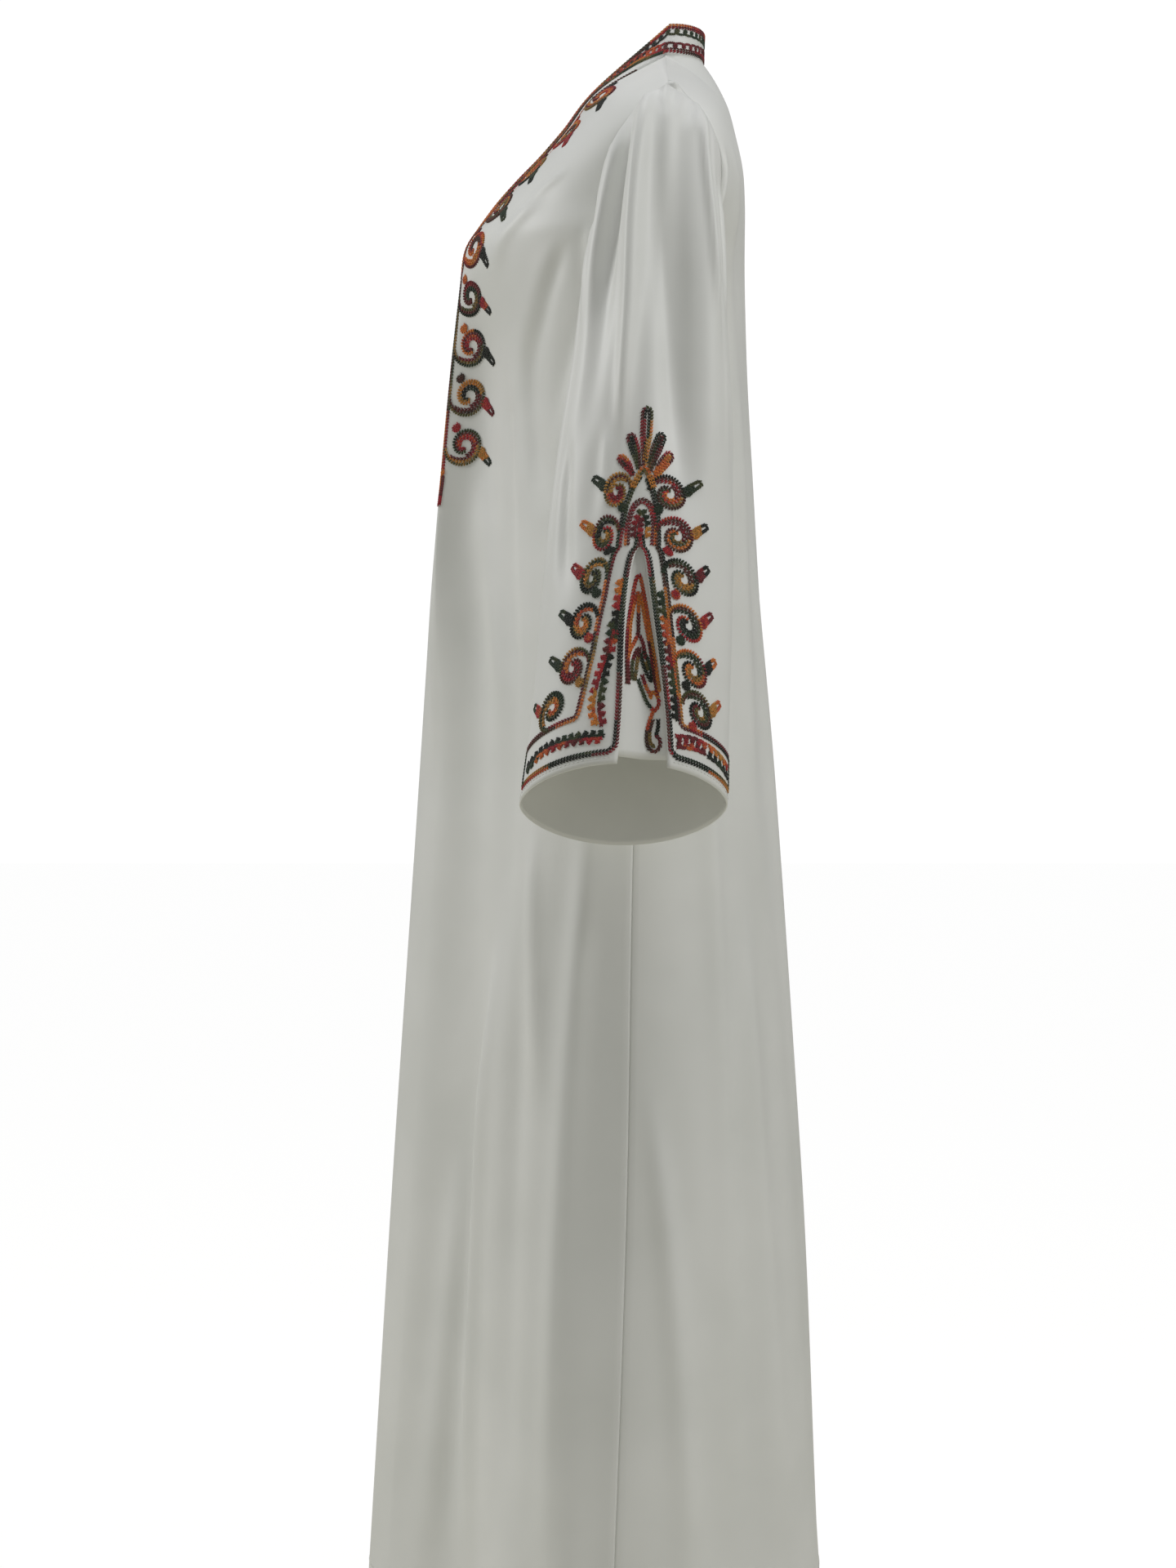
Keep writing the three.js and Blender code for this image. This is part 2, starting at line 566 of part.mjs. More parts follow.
// ---------------------------------------------------------------- embroidery on the cloth
// A surface in the cloth's own measure: up is millimetres along a column from a base row, and out is
// millimetres along the row from that column. Points lie exactly on the grid's flat faces.
class Ground {
  constructor(rows, column, baseRow, flip) {
    this.rows = rows;
    this.column = column;
    this.cloth = new Cloth(rows, flip).cover(0, rows.length - 1, 0, rows[0].length - 1);
    this.heights = [0];
    for (let r = 1; r < rows.length; r++)
      this.heights.push(this.heights[r - 1] + rows[r][column].distanceTo(rows[r - 1][column]));
    this.base = this.heights[baseRow];
  }

  columnAt(r, out) {
    const row = this.rows[r];
    if (out < 0 && this.column === 0) return 0;
    const step = out < 0 ? -1 : 1;
    let [c, left] = [this.column, Math.abs(out)];
    while (c + step > 0 && c + step < row.length - 1) {
      const span = row[c].distanceTo(row[c + step]);
      if (left <= span) break;
      left -= span;
      c += step;
    }
    return c + step * Math.min(1, left / Math.max(1e-6, row[c].distanceTo(row[c + step])));
  }

  // The cell that a place lies in, and its shares (f up, g out) within the cell.
  locate(up, out) {
    const height = this.base + up;
    let r = 0;
    while (r < this.rows.length - 2 && height > this.heights[r + 1]) r++;
    const f = Math.min(1, Math.max(0, (height - this.heights[r]) / (this.heights[r + 1] - this.heights[r])));
    const column = mix(this.columnAt(r, out), this.columnAt(r + 1, out), f);
    const c = Math.min(this.rows[r].length - 2, Math.floor(column));
    return { r, c, f, g: column - c };
  }

  cellAt(up, out) {
    const { r, c } = this.locate(up, out);
    return r * this.rows[r].length + c;
  }

  at(up, out, lift) {
    const { r, c, f, g } = this.locate(up, out);
    const [a, b] = [this.rows[r][c], this.rows[r][c + 1]];
    const [d, e] = [this.rows[r + 1][c], this.rows[r + 1][c + 1]];
    const [na, nb, nd, ne] = [a, b, d, e].map((p) => this.cloth.normalAt(p));
    const blend = (p, q, s, t) =>
      g >= f
        ? p.clone().addScaledVector(q.clone().sub(p), g).addScaledVector(t.clone().sub(q), f)
        : p.clone().addScaledVector(s.clone().sub(p), f).addScaledVector(t.clone().sub(s), g);
    return blend(a, b, d, e).addScaledVector(blend(na, nb, nd, ne).normalize(), lift);
  }
}

// A path with a station added wherever it crosses into another cell of the ground.
function crossCells(ground, path) {
  const full = [path[0]];
  for (let i = 1; i < path.length; i++) {
    const [a, b] = [path[i - 1], path[i]];
    const between = (t) => ({ up: mix(a.up, b.up, t), out: mix(a.out, b.out, t), wide: mix(a.wide, b.wide, t) });
    const cell = (t) => ground.cellAt(between(t).up, between(t).out);
    let last = 0;
    for (const t of shares(8).slice(1)) {
      if (cell(t) === cell(t - 1 / 8)) continue;
      let [low, high] = [t - 1 / 8, t];
      for (let k = 0; k < 6; k++) {
        const middle = (low + high) / 2;
        if (cell(middle) === cell(low)) low = middle;
        else high = middle;
      }
      if (high - last > 0.12 && high < 0.88) full.push(between(high));
      last = high;
    }
    full.push(b);
  }
  return full;
}

// A flat braid along a path of { up, out, wide } on a ground, as a closed solid. A border bends with
// the cloth from cell to cell, and one that lies on a seam has a middle line to bend over it.
const flat = { low: braidClear, high: braidClear + braidThick };
const corded = { low: braidClear + 0.8, high: braidClear + scrollThick + 0.3 };
function braid(ground, stations, { low, high }, border = false, middle = false) {
  const path = border ? crossCells(ground, stations) : stations;
  const [positions, triangles] = [[], []];
  const hands = middle ? [-1, 0, 1] : [-1, 1];
  const profile = [...hands.map((h) => [h, low]), ...hands.map((h) => [-h, high])];
  const sides = profile.length;
  path.forEach((p, i) => {
    const [a, b] = [path[Math.max(0, i - 1)], path[Math.min(path.length - 1, i + 1)]];
    const [du, dv] = [b.up - a.up, b.out - a.out];
    const reach = p.wide / 2 / (Math.hypot(du, dv) || 1);
    for (const [hand, lift] of profile) {
      const q = ground.at(p.up + hand * reach * dv, p.out - hand * reach * du, lift);
      positions.push(q.x, q.y, q.z);
    }
    if (i === 0) return;
    for (let k = 0; k < sides; k++) {
      const [m, n] = [sides * i + k, sides * i + ((k + 1) % sides)];
      triangles.push(m - sides, m, n, m - sides, n, n - sides);
    }
  });
  const end = sides * (path.length - 1);
  for (let k = 0; k < hands.length - 1; k++) {
    const [a, b, c, d] = [k, k + 1, sides - 2 - k, sides - 1 - k];
    triangles.push(a, b, c, a, c, d, end + a, end + c, end + b, end + a, end + d, end + c);
  }
  return { positions, triangles };
}

function solidOf({ positions, triangles }) {
  const make = (order) =>
    new wasm.Manifold(
      new wasm.Mesh({
        numProp: 3,
        vertProperties: new Float32Array(positions),
        triVerts: new Uint32Array(order),
      }),
    );
  const made = make(triangles);
  if (made.volume() > 0) return made;
  const turned = [];
  for (let i = 0; i < triangles.length; i += 3) turned.push(triangles[i], triangles[i + 2], triangles[i + 1]);
  return make(turned);
}

function fused(name, pieces, finish) {
  const joined = wasm.Manifold.union(pieces.map(solidOf)).simplify(0.25);
  const mesh = joined.getMesh();
  const positions = [];
  for (let i = 0; i < mesh.numVert; i++) {
    const at = i * mesh.numProp;
    positions.push(mesh.vertProperties[at], mesh.vertProperties[at + 1], mesh.vertProperties[at + 2]);
  }
  return meshOf(name, positions, Array.from(mesh.triVerts), finish);
}

// A scroll that leaves the border, goes round and curls into its own middle. outward is +1 or -1, and
// upward says on which side of its middle it leaves the border.
function scrollPath(up, out, radius, outward, upward, steps = 6) {
  const turns = 1.15;
  return shares(steps).map((s) => {
    const angle = Math.PI * (0.97 - 2 * turns * s);
    const r = radius * (1 - 0.8 * s ** 1.15);
    return {
      up: up + upward * r * Math.sin(angle),
      out: out + outward * r * Math.cos(angle),
      wide: mix(7, 4.6, s),
    };
  });
}

// The drop on the scroll's outer side: a knot that tapers into a small loop.
function dropPath(up, out, radius, outward, upward) {
  const lean = 0.62;
  return [0, 0.45, 1].map((s, i) => ({
    up: up + upward * (radius * 0.3 + s * 20 * lean),
    out: out + outward * (radius * 0.85 + s * 20 * Math.sqrt(1 - lean * lean)),
    wide: [7, 6.5, 3.2][i],
  }));
}

const line = (points, spacing = 22) => {
  const path = [points[0]];
  for (let i = 1; i < points.length; i++) {
    const [a, b] = [points[i - 1], points[i]];
    const n = Math.max(1, Math.round(Math.hypot(b.up - a.up, b.out - a.out) / spacing));
    for (let k = 1; k <= n; k++)
      path.push({ up: mix(a.up, b.up, k / n), out: mix(a.out, b.out, k / n), wide: mix(a.wide, b.wide, k / n) });
  }
  return path;
};

const frontScrolls = { first: -172, pitch: 49, count: 9, radius: 16, out: 20.2 };
const frontBorder = { low: -194, high: 268, wide: 6 };

function frontGround(side) {
  const rows = frontRows(side).slice(placketRow - 1);
  return new Ground(rows, bandColumns, levels.findIndex((l) => l.rise === 0 && l.z === armpit) - placketRow + 1, side < 0);
}

function frontEmbroidery(side, name) {
  const ground = frontGround(side);
  const { low, high, wide } = frontBorder;
  const pieces = [braid(ground, line([{ up: low, out: 0, wide }, { up: high, out: 0, wide }]), flat, true, true)];
  for (let i = 0; i < frontScrolls.count; i++) {
    const up = frontScrolls.first + frontScrolls.pitch * i;
    const { out, radius } = frontScrolls;
    pieces.push(braid(ground, scrollPath(up, out, radius, 1, -1), corded));
    pieces.push(braid(ground, dropPath(up, out, radius, 1, -1), corded));
  }
  return fused(name, pieces, maroon);
}

// The braid on the neck edge: it follows the band's edge from the V up and round the nape.
function neckBraid() {
  const from = levels.findIndex((l) => l.rise > 0) - placketRow;
  const pieces = [-1, 1].map((side) => {
    // One row more than half the way round, so that the two halves of the braid join.
    const rows = [...bandRows(side).slice(from), napeLine(1 - 1 / napeSteps, -side)];
    const ground = new Ground(rows, 0, 0, side < 0);
    const long = ground.heights[rows.length - 2];
    const path = line([{ up: 1, out: 4.2, wide: 6 }, { up: long + 0.5, out: 4.2, wide: 6 }]);
    return braid(ground, path, flat, true);
  });
  return fused("neck_braid", pieces, bottle);
}

// The sleeve's embroidery before (1) and behind (-1) the slit, up from the cuff's hem and out from the
// slit: the border from its toe on the cuff up to the arch's top, and the scrolls beside it.
const arches = {
  1: [
    { up: 46, out: 114, wide: 6 },
    { up: 47, out: 41, wide: 6 },
    { up: 103, out: 29, wide: 6 },
    { up: 154, out: 21, wide: 6 },
    { up: 215, out: 18, wide: 6 },
    { up: 264, out: 4.4, wide: 6 },
  ],
  [-1]: [
    { up: 40, out: 88, wide: 6 },
    { up: 40, out: 15, wide: 6 },
    { up: 103, out: 15, wide: 6 },
    { up: 156, out: 15, wide: 6 },
    { up: 215, out: 14, wide: 6 },
    { up: 264, out: 4.4, wide: 6 },
  ],
};
const sleeveScrolls = {
  radius: 13,
  clear: 17,
  1: [253, 214, 175, 135, 96],
  [-1]: [253, 215, 176, 135, 95],
  toe: { 1: { up: 56.5, out: 72 }, [-1]: { up: 53, out: 33 } },
};
const palmette = [
  { out: 3.2, tip: 3.2, low: 270, high: 322 },
  { out: 9.6, tip: 14, low: 266, high: 304 },
  { out: 13, tip: 23, low: 258, high: 287 },
];

function sleeveGround(side, hand) {
  const cloth = sleeveCloth(side);
  const rows = cloth.rows
    .slice()
    .reverse()
    .map((row) => (hand > 0 ? row : row.slice().reverse()));
  return new Ground(rows.slice(0, 9), 0, 0, side * hand > 0);
}

// The sleeve's arch border with its scrolls, on the front (hand 1) or back (hand -1) of the slit.
function sleeveEmbroidery(side, hand, name) {
  const ground = sleeveGround(side, hand);
  const arch = arches[hand];
  const top = arch[arch.length - 1];
  const pieces = [braid(ground, line(arch), flat, true)];
  palmette.forEach((finger, i) => {
    const path = [
      { up: top.up - 4, out: top.out, wide: 4.5 },
      { up: finger.low, out: finger.out, wide: i ? 6.5 : 5.2 },
      { up: finger.high, out: finger.tip, wide: i ? 5.5 : 4.8 },
    ];
    pieces.push(braid(ground, path, corded, i === 0));
  });
  const beside = sleeveScrolls[hand].map((up) => {
    const next = arch.findIndex((p, i) => i > 1 && p.up > up);
    const [a, b] = [arch[next - 1], arch[next]];
    return { up, out: mix(a.out, b.out, (up - a.up) / (b.up - a.up)) + sleeveScrolls.clear };
  });
  for (const { up, out } of [...beside, sleeveScrolls.toe[hand]]) {
    pieces.push(braid(ground, scrollPath(up, out, sleeveScrolls.radius, 1, 1), corded));
    pieces.push(braid(ground, dropPath(up, out, sleeveScrolls.radius, 1, 1), corded));
  }
  return fused(name, pieces, gold);
}

function cuffBraid(side, hand, name) {
  const ground = sleeveGround(side, hand);
  const reach = arches[hand][0].out;
  const path = line([
    { up: 190, out: 3.6, wide: 4 },
    { up: 14, out: 3.6, wide: 5 },
    { up: 11, out: 9, wide: 6 },
    { up: 11, out: reach, wide: 6 },
  ]);
  return fused(name, [braid(ground, path, flat, true)], bottle);
}

// ---------------------------------------------------------------- assembly
const abaya = new THREE.Group();
abaya.name = "abaya";
abaya.add(frontPanel(), backPanel(), neckBand(), neckBraid());
for (const [word, side] of [["left", 1], ["right", -1]]) {
  abaya.add(
    clothWall(`sleeve_${word}`, sleeveCloth(side)),
    clothWall(`godet_${word}`, godetCloth(side)),
    frontEmbroidery(side, `front_scrolls_${word}`),
    sleeveEmbroidery(side, 1, `sleeve_scrolls_fore_${word}`),
    sleeveEmbroidery(side, -1, `sleeve_scrolls_aft_${word}`),
    cuffBraid(side, 1, `cuff_braid_fore_${word}`),
    cuffBraid(side, -1, `cuff_braid_aft_${word}`),
  );
}

export default abaya;
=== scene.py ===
import math

import bmesh
import bpy
import numpy as np
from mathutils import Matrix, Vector


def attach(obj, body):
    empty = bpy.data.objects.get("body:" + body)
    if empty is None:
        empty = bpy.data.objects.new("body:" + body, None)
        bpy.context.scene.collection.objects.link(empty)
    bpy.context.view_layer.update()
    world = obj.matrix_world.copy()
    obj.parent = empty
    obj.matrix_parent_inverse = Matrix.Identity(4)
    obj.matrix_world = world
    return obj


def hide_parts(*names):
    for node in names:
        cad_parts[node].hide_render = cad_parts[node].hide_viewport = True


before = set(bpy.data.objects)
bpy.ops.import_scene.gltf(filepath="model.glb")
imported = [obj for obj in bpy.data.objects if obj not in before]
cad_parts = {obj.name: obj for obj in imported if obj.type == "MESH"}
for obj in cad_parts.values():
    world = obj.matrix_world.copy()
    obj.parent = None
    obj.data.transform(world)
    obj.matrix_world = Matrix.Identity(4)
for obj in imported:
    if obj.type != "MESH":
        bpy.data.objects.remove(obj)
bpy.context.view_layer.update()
print("abaya: frame loaded")

# Sizes are millimetres in the CAD frame: +Z up, the wearer faces -Y, their left hand is at +X.
mm = 0.001
robe = {
    "hem": -1524,
    "armpit": -222,
    "placketEnd": -420,
    "crownFrom": -470,
    "riseTop": 7,
    "shoulderShare": 5 / 14,
    "middleY": -60,
    "clothThick": 1.1,
    "seamGap": 0.5,
}


# Rows of numbers under named columns, as one array per column.
def table(names, rows):
    return {name: np.array(column, float) for name, column in zip(names.split(), zip(*rows))}


def rowsOf(columns):
    for values in zip(*columns.values()):
        yield dict(zip(columns, values))


def smooth(t):
    t = np.clip(t, 0, 1)
    return t * t * (3 - 2 * t)


def mix(a, b, t):
    return a + (b - a) * t


def bump(t):
    return np.where(np.abs(t) < 1, 0.5 + 0.5 * np.cos(np.pi * np.clip(t, -1, 1)), 0)


def unit(v):
    return v / np.maximum(1e-9, np.linalg.norm(v, axis=-1, keepdims=True))


# One column of a table as a smooth function of its first column.
def read(rows, column, value):
    keys = next(iter(rows.values()))
    values = rows[column]
    value = np.asarray(value, float)
    low = np.maximum(np.arange(len(keys)) - 1, 0)
    high = np.minimum(np.arange(len(keys)) + 1, len(keys) - 1)
    slopes = (values[high] - values[low]) / (keys[high] - keys[low])
    i = np.clip(np.searchsorted(keys, value) - 1, 0, len(keys) - 2)
    width = keys[i + 1] - keys[i]
    t = np.clip((value - keys[i]) / width, 0, 1)
    return (
        (2 * t**3 - 3 * t**2 + 1) * values[i]
        + (t**3 - 2 * t**2 + t) * slopes[i] * width
        + (3 * t**2 - 2 * t**3) * values[i + 1]
        + (t**3 - t**2) * slopes[i + 1] * width
    )


def point(rows, names, value):
    return np.array([read(rows, name, value) for name in names.split()])


# A rounded corner from a to b, for shares t of the way.
def conic(a, b, roundness, t):
    weight = 0.7
    t = np.asarray(t, float)[:, None]
    corner = np.array([b[0], a[1], (a[2] + b[2]) / 2])
    pull = mix(mix(a, b, 0.5), corner, roundness)
    parts = (1 - t) ** 2, 2 * weight * t * (1 - t), t**2
    return (a * parts[0] + pull * parts[1] + b * parts[2]) / sum(parts)


# How far along a path each of its points lies.
def arcOf(path):
    return np.r_[0, np.cumsum(np.linalg.norm(np.diff(path, axis=0), axis=1))]


# A centripetal spline through knots, at shares t of its whole run.
def spline(knots, t):
    knots = np.asarray(knots, float)
    full = np.vstack([2 * knots[0] - knots[1], knots, 2 * knots[-1] - knots[-2]])
    place = np.clip(np.asarray(t, float), 0, 1) * (len(knots) - 1)
    i = np.minimum(place.astype(int), len(knots) - 2)
    w = (place - i)[:, None]
    p0, p1, p2, p3 = (full[i + k] for k in range(4))
    pairs = (p0, p1), (p1, p2), (p2, p3)
    gap = [np.maximum(1e-4, np.sqrt(np.linalg.norm(b - a, axis=1)))[:, None] for a, b in pairs]
    leave = ((p1 - p0) / gap[0] - (p2 - p0) / (gap[0] + gap[1]) + (p2 - p1) / gap[1]) * gap[1]
    reach = ((p2 - p1) / gap[1] - (p3 - p1) / (gap[1] + gap[2]) + (p3 - p2) / gap[2]) * gap[1]
    return p1 + leave * w + (3 * (p2 - p1) - 2 * leave - reach) * w**2 + (2 * (p1 - p2) + leave + reach) * w**3


# The robe's sections, as in the CAD part: the body's by height, the shoulder's by steps of its rise.
bodySections = table(
    "z front flute valleyX valleyY bellyX bellyY half side back",
    [
        (-1524, -286, 84, 172, -180, 268, -150, 335, -46, 167),
        (-1126, -262, 68, 134, -174, 218, -144, 283, -31, 143),
        (-781, -239, 55, 98, -169, 176, -134, 236, -24, 121),
        (-600, -227, 49, 80, -166, 154, -128, 211, -16, 110),
        (-430, -214, 44, 66, -164, 140, -123, 199, -8, 100),
        (-320, -204, 42, 62, -165, 136, -123, 200, -3, 94),
        (-222, -193, 44, 76, -177, 143, -128, 203, 2, 91),
    ],
)
frontRise = table(
    "at neckX neckY neckZ seamX seamY seamZ armX armY armZ round",
    [
        (0, 0, -193, -222, 44, -191, -222, 203, 2, -222, 1),
        (1, 0, -187, -189, 45, -184, -192, 196, -30, -205, 0.95),
        (2, 12, -162, -153, 48, -158, -161, 188, -43, -180, 0.9),
        (3, 22, -137, -126, 54, -131, -134, 184, -46, -154, 0.85),
        (4, 30, -114, -104, 60, -107, -110, 182, -42, -129, 0.75),
        (5, 38, -90, -78, 66, -84, -84, 183, -30, -106, 0.6),
        (6, 48, -58, -40, 72, -54, -48, 186, -10, -85, 0.35),
        (7, 61, 15, 22, 75, 10, -13, 190, 11, -70, 0),
    ],
)
backRise = table(
    "at centreY centreZ armX armY armZ round",
    [
        (0, 91, -222, 203, 2, -222, 1),
        (1, 91, -188, 197, 34, -202, 0.98),
        (2, 91, -152, 190, 52, -176, 0.95),
        (3, 89, -115, 186, 58, -150, 0.9),
        (4, 82, -80, 184, 56, -125, 0.85),
        (5, 75, -50, 185, 45, -102, 0.75),
        (6, 65, -25, 187, 28, -83, 0.6),
        (7, 50, -6, 190, 11, -70, 0),
    ],
)
nape = {"seam": np.array([0, 50, -6]), "neck": np.array([0, 51, 25])}
bodyFolds = table(
    "front side place start depth width lean",
    [
        (1, 1, 0.74, -700, 7, 0.16, 0.06),
        (1, -1, 0.66, -560, 10, 0.17, 0.08),
        (1, -1, 0.3, -900, -8, 0.15, 0),
        (0, 1, 0.3, -480, 13, 0.2, 0.02),
        (0, 1, 0.58, -860, -10, 0.16, 0.04),
        (0, -1, 0.22, -620, -9, 0.16, 0.02),
        (0, -1, 0.5, -420, 14, 0.2, 0.05),
        (0, -1, 0.76, -980, -8, 0.14, 0),
    ],
)
backDrops = table(
    "side place high low depth width",
    [
        (1, 0.9, -40, -640, 7, 0.13),
        (1, 0.66, -70, -700, -5, 0.13),
        (-1, 0.88, -40, -560, 6, 0.13),
        (-1, 0.6, -80, -760, -5, 0.14),
    ],
)


crown = {"softOver": 260, "edgeOut": 2, "edgeSoft": 20, "sideX": 0.82, "sideY": 0.52}


# The left half of the front at one height, from the centre (0) past the fold's edge (1) to the side (2).
def frontSection(z, u):
    u = np.asarray(u, float)
    at = lambda column: float(read(bodySections, column, z))
    soft = float(smooth((robe["crownFrom"] - z) / crown["softOver"]))
    edge = [at("flute"), at("front") + crown["edgeOut"] + crown["edgeSoft"] * soft, z]
    knots = [
        [-edge[0], edge[1], z],
        [0, at("front"), z],
        edge,
        [at("valleyX"), at("valleyY"), z],
        [at("bellyX"), at("bellyY"), z],
        [mix(at("bellyX"), at("half"), crown["sideX"]), mix(at("bellyY"), at("side"), crown["sideY"]), z],
        [at("half"), at("side"), z],
    ]
    # Six spans: two across the fold, four from its edge to the side.
    rounded = spline(knots, np.where(u < 1, (1 + u) / 6, (2 + 4 * (u - 1)) / 6))
    flat = np.stack([edge[0] * u, at("front") + crown["edgeOut"] * u * u, np.full_like(u, z)], 1)
    crisp = np.where((u < 1)[:, None], flat, spline(knots[2:], u - 1))
    return mix(crisp, rounded, soft)


def foldDepth(front, side, z, u):
    depth = np.zeros_like(u)
    for f in rowsOf(bodyFolds):
        if f["front"] == front and f["side"] == side and z < f["start"]:
            share = smooth((f["start"] - z) / (f["start"] - robe["hem"]))
            depth += f["depth"] * share * bump((u - f["place"] - f["lean"] * share) / f["width"])
    return depth


def dropDepth(side, z, u):
    depth = np.zeros_like(u)
    for d in rowsOf(backDrops):
        if d["side"] == side:
            share = bump((z - (d["high"] + d["low"]) / 2) / ((d["high"] - d["low"]) / 2))
            depth += d["depth"] * share * bump((u - d["place"]) / d["width"])
    return depth


def outwards(p, depth):
    away = unit((p - np.array([0, robe["middleY"], 0])) * np.array([1, 1, 0]))
    return p + away * depth[:, None]


# Over how many steps of the rise each shape passes into the next, and how near the centre it is quiet.
rises = {"frontKeeps": 3.5, "quiet": 6, "backRound": 0.94, "dropsFrom": 4, "ridgeFrom": 5, "over": 2}


# The neck, seam or arm line of the front at a step of the rise.
def riseLine(line, rise):
    return point(frontRise, f"{line}X {line}Y {line}Z", rise)


# Each row function gives the left half at one level: (z, 0) below the armpit, (armpit, rise) above it.
def frontRow(level, u, side):
    z, rise = level
    if rise == 0:
        quiet = np.minimum(1, 4 * u * (1 - u))
        return outwards(frontSection(z, 1 + u), foldDepth(1, side, z, u) * quiet)
    seam, arm = riseLine("seam", rise), riseLine("arm", rise)
    first = conic(riseLine("seam", 0), riseLine("arm", 0), 1, u)
    kept = 1 - smooth(rise / rises["frontKeeps"])
    below = (frontSection(robe["armpit"], 1 + u) - first) * kept
    return conic(seam, arm, read(frontRise, "round", rise), u) + below


def bandRow(level, t):
    z, rise = level
    if rise == 0:
        return frontSection(z, t)
    neck = riseLine("neck", rise)
    neck[0] = max(0, neck[0])
    return mix(neck, riseLine("seam", rise), t[:, None])


# The band from the shoulder (0) round to the centre back (1).
def napeRow(share, t):
    seam = conic(nape["seam"], riseLine("seam", 7), 1, [1 - share])
    neck = conic(nape["neck"], riseLine("neck", 7), 1, [1 - share])
    return mix(neck, seam, t[:, None])


def backRow(level, u, side):
    z, rise = level
    quiet = np.minimum(1, (1 - u) * rises["quiet"])
    if rise == 0:
        centre = [0, float(read(bodySections, "back", z)), z]
        edge = [*point(bodySections, "half side", z), z]
        p = conic(np.array(centre), np.array(edge), rises["backRound"], u)
        return outwards(p, (foldDepth(0, side, z, u) + dropDepth(side, z, u)) * quiet)
    centre = np.array([0, *point(backRise, "centreY centreZ", rise)])
    arm = point(backRise, "armX armY armZ", rise)
    roundness = mix(read(backRise, "round", rise), rises["backRound"], 1 - smooth(rise))
    p = conic(centre, arm, roundness, u)
    fading = 1 - smooth((rise - rises["dropsFrom"]) / rises["over"])
    p = outwards(p, dropDepth(side, p[0, 2], u) * quiet * fading)
    tip, top = riseLine("seam", 7), riseLine("arm", 7)
    share = robe["shoulderShare"]
    collar = np.array([napeRow(1 - min(1, x / share), np.array([1.0]))[0] for x in u])
    shoulder = mix(tip, top, np.clip((u - share) / (1 - share), 0, 1)[:, None])
    ridge = np.where((u < share)[:, None], collar, shoulder)
    return mix(p, ridge, smooth((rise - rises["ridgeFrom"]) / rises["over"]))


# The left sleeve's rings, from the armhole to the cuff.
sleeveRings = table(
    "at outX outZ inX inZ front back",
    [
        (0, 190, -70, 203, -222, -46, 59),
        (1, 212, -72, 208, -229, -45, 60),
        (2, 238, -93, 212, -240, -48, 58),
        (3, 260, -139, 215, -261, -56, 57),
        (4, 282, -209, 219, -306, -67, 60),
        (5, 303, -289, 224, -371, -75, 62),
        (6, 324, -376, 231, -448, -88, 65),
        (7, 345, -463, 240, -535, -99, 66),
        (8, 366, -550, 250, -622, -108, 64),
        (9, 384, -631, 260, -704, -116, 61),
        (10, 400, -708, 270, -782, -127, 59),
    ],
)
cuff = 10
slit = {"top": 7.6, "lean": -10, "halfAngle": 14, "godetTop": 7.3, "tuck": 6, "recess": 9, "hemRise": 0.1}
sleeveFolds = table(
    "angle lean start end depth width",
    [
        (22, -12, 0.4, 6.4, 5, 17),
        (47, -4, 0.6, 6.5, -8, 18),
        (-16, -10, 0.5, 6, -6, 18),
        (-52, 0, 1, 7, 5, 18),
        (128, 0, 3, 10, -5, 20),
        (-128, 0, 2.5, 10, -6, 20),
    ],
)
gather = {"reach": 50, "count": 4.5, "depth": 3.2, "rings": 1.6}


# The sleeve stands off the armhole, more under the arm, and leaves its line within some rings.
armhole = {"gapUnder": 2.1, "gapOver": 0.7, "gapOverRise": 5, "gapFrom": 0.2, "leaves": 2.5}
oval = {"power": 1.18, "from": 3, "over": 5}


def armholePoint(angle):
    turn = np.mod(angle, 360)
    front = turn <= 180
    rise = robe["riseTop"] * np.where(front, 1 - turn / 180, turn / 180 - 1)
    gap = mix(armhole["gapUnder"], armhole["gapOver"], smooth(rise / armhole["gapOverRise"] - armhole["gapFrom"]))
    names = ("armX", "armY", "armZ")
    edges = [np.stack([read(rows, name, rise) for name in names], -1) for rows in (frontRise, backRise)]
    p = np.where(front[..., None], *edges)
    p[..., 0] += gap
    return p


def sleevePoint(ring, angle):
    ring, angle = np.broadcast_arrays(np.asarray(ring, float), np.asarray(angle, float))
    outX, outZ, inX, inZ, front, back = point(sleeveRings, "outX outZ inX inZ front back", ring)
    turned = np.mod(angle + 540, 360) - 180
    c, s = np.cos(np.radians(angle)), np.sin(np.radians(angle))
    tip = mix(1, oval["power"], smooth((ring - oval["from"]) / oval["over"]))
    ringRound = np.sign(c) * np.abs(c) ** tip
    depth = np.zeros_like(ring)
    for f in rowsOf(sleeveFolds):
        share = (ring - f["start"]) / (f["end"] - f["start"])
        run = np.sqrt(np.maximum(0, bump(2 * share - 1)))
        depth += f["depth"] * run * bump((turned - f["angle"] - f["lean"] * share) / f["width"])
    tuck = bump(turned / gather["reach"]) * (1 - smooth(ring / gather["rings"])) * np.minimum(1, ring * 2)
    depth += gather["depth"] * tuck * np.cos(turned / gather["reach"] * np.pi * gather["count"])
    across = np.stack([(outX - inX) / 2, np.zeros_like(ring), (outZ - inZ) / 2], -1)
    centre = np.stack([(outX + inX) / 2, (front + back) / 2, (outZ + inZ) / 2], -1)
    away = unit(across) * c[..., None]
    away[..., 1] = -s
    p = centre + across * ringRound[..., None] + unit(away) * depth[..., None]
    p[..., 1] -= (back - front) / 2 * s
    return mix(armholePoint(angle), p, smooth(ring / armhole["leaves"])[..., None])


def slitHalf(ring):
    return slit["halfAngle"] * np.sqrt(np.maximum(0, (ring - slit["top"]) / (cuff - slit["top"])))


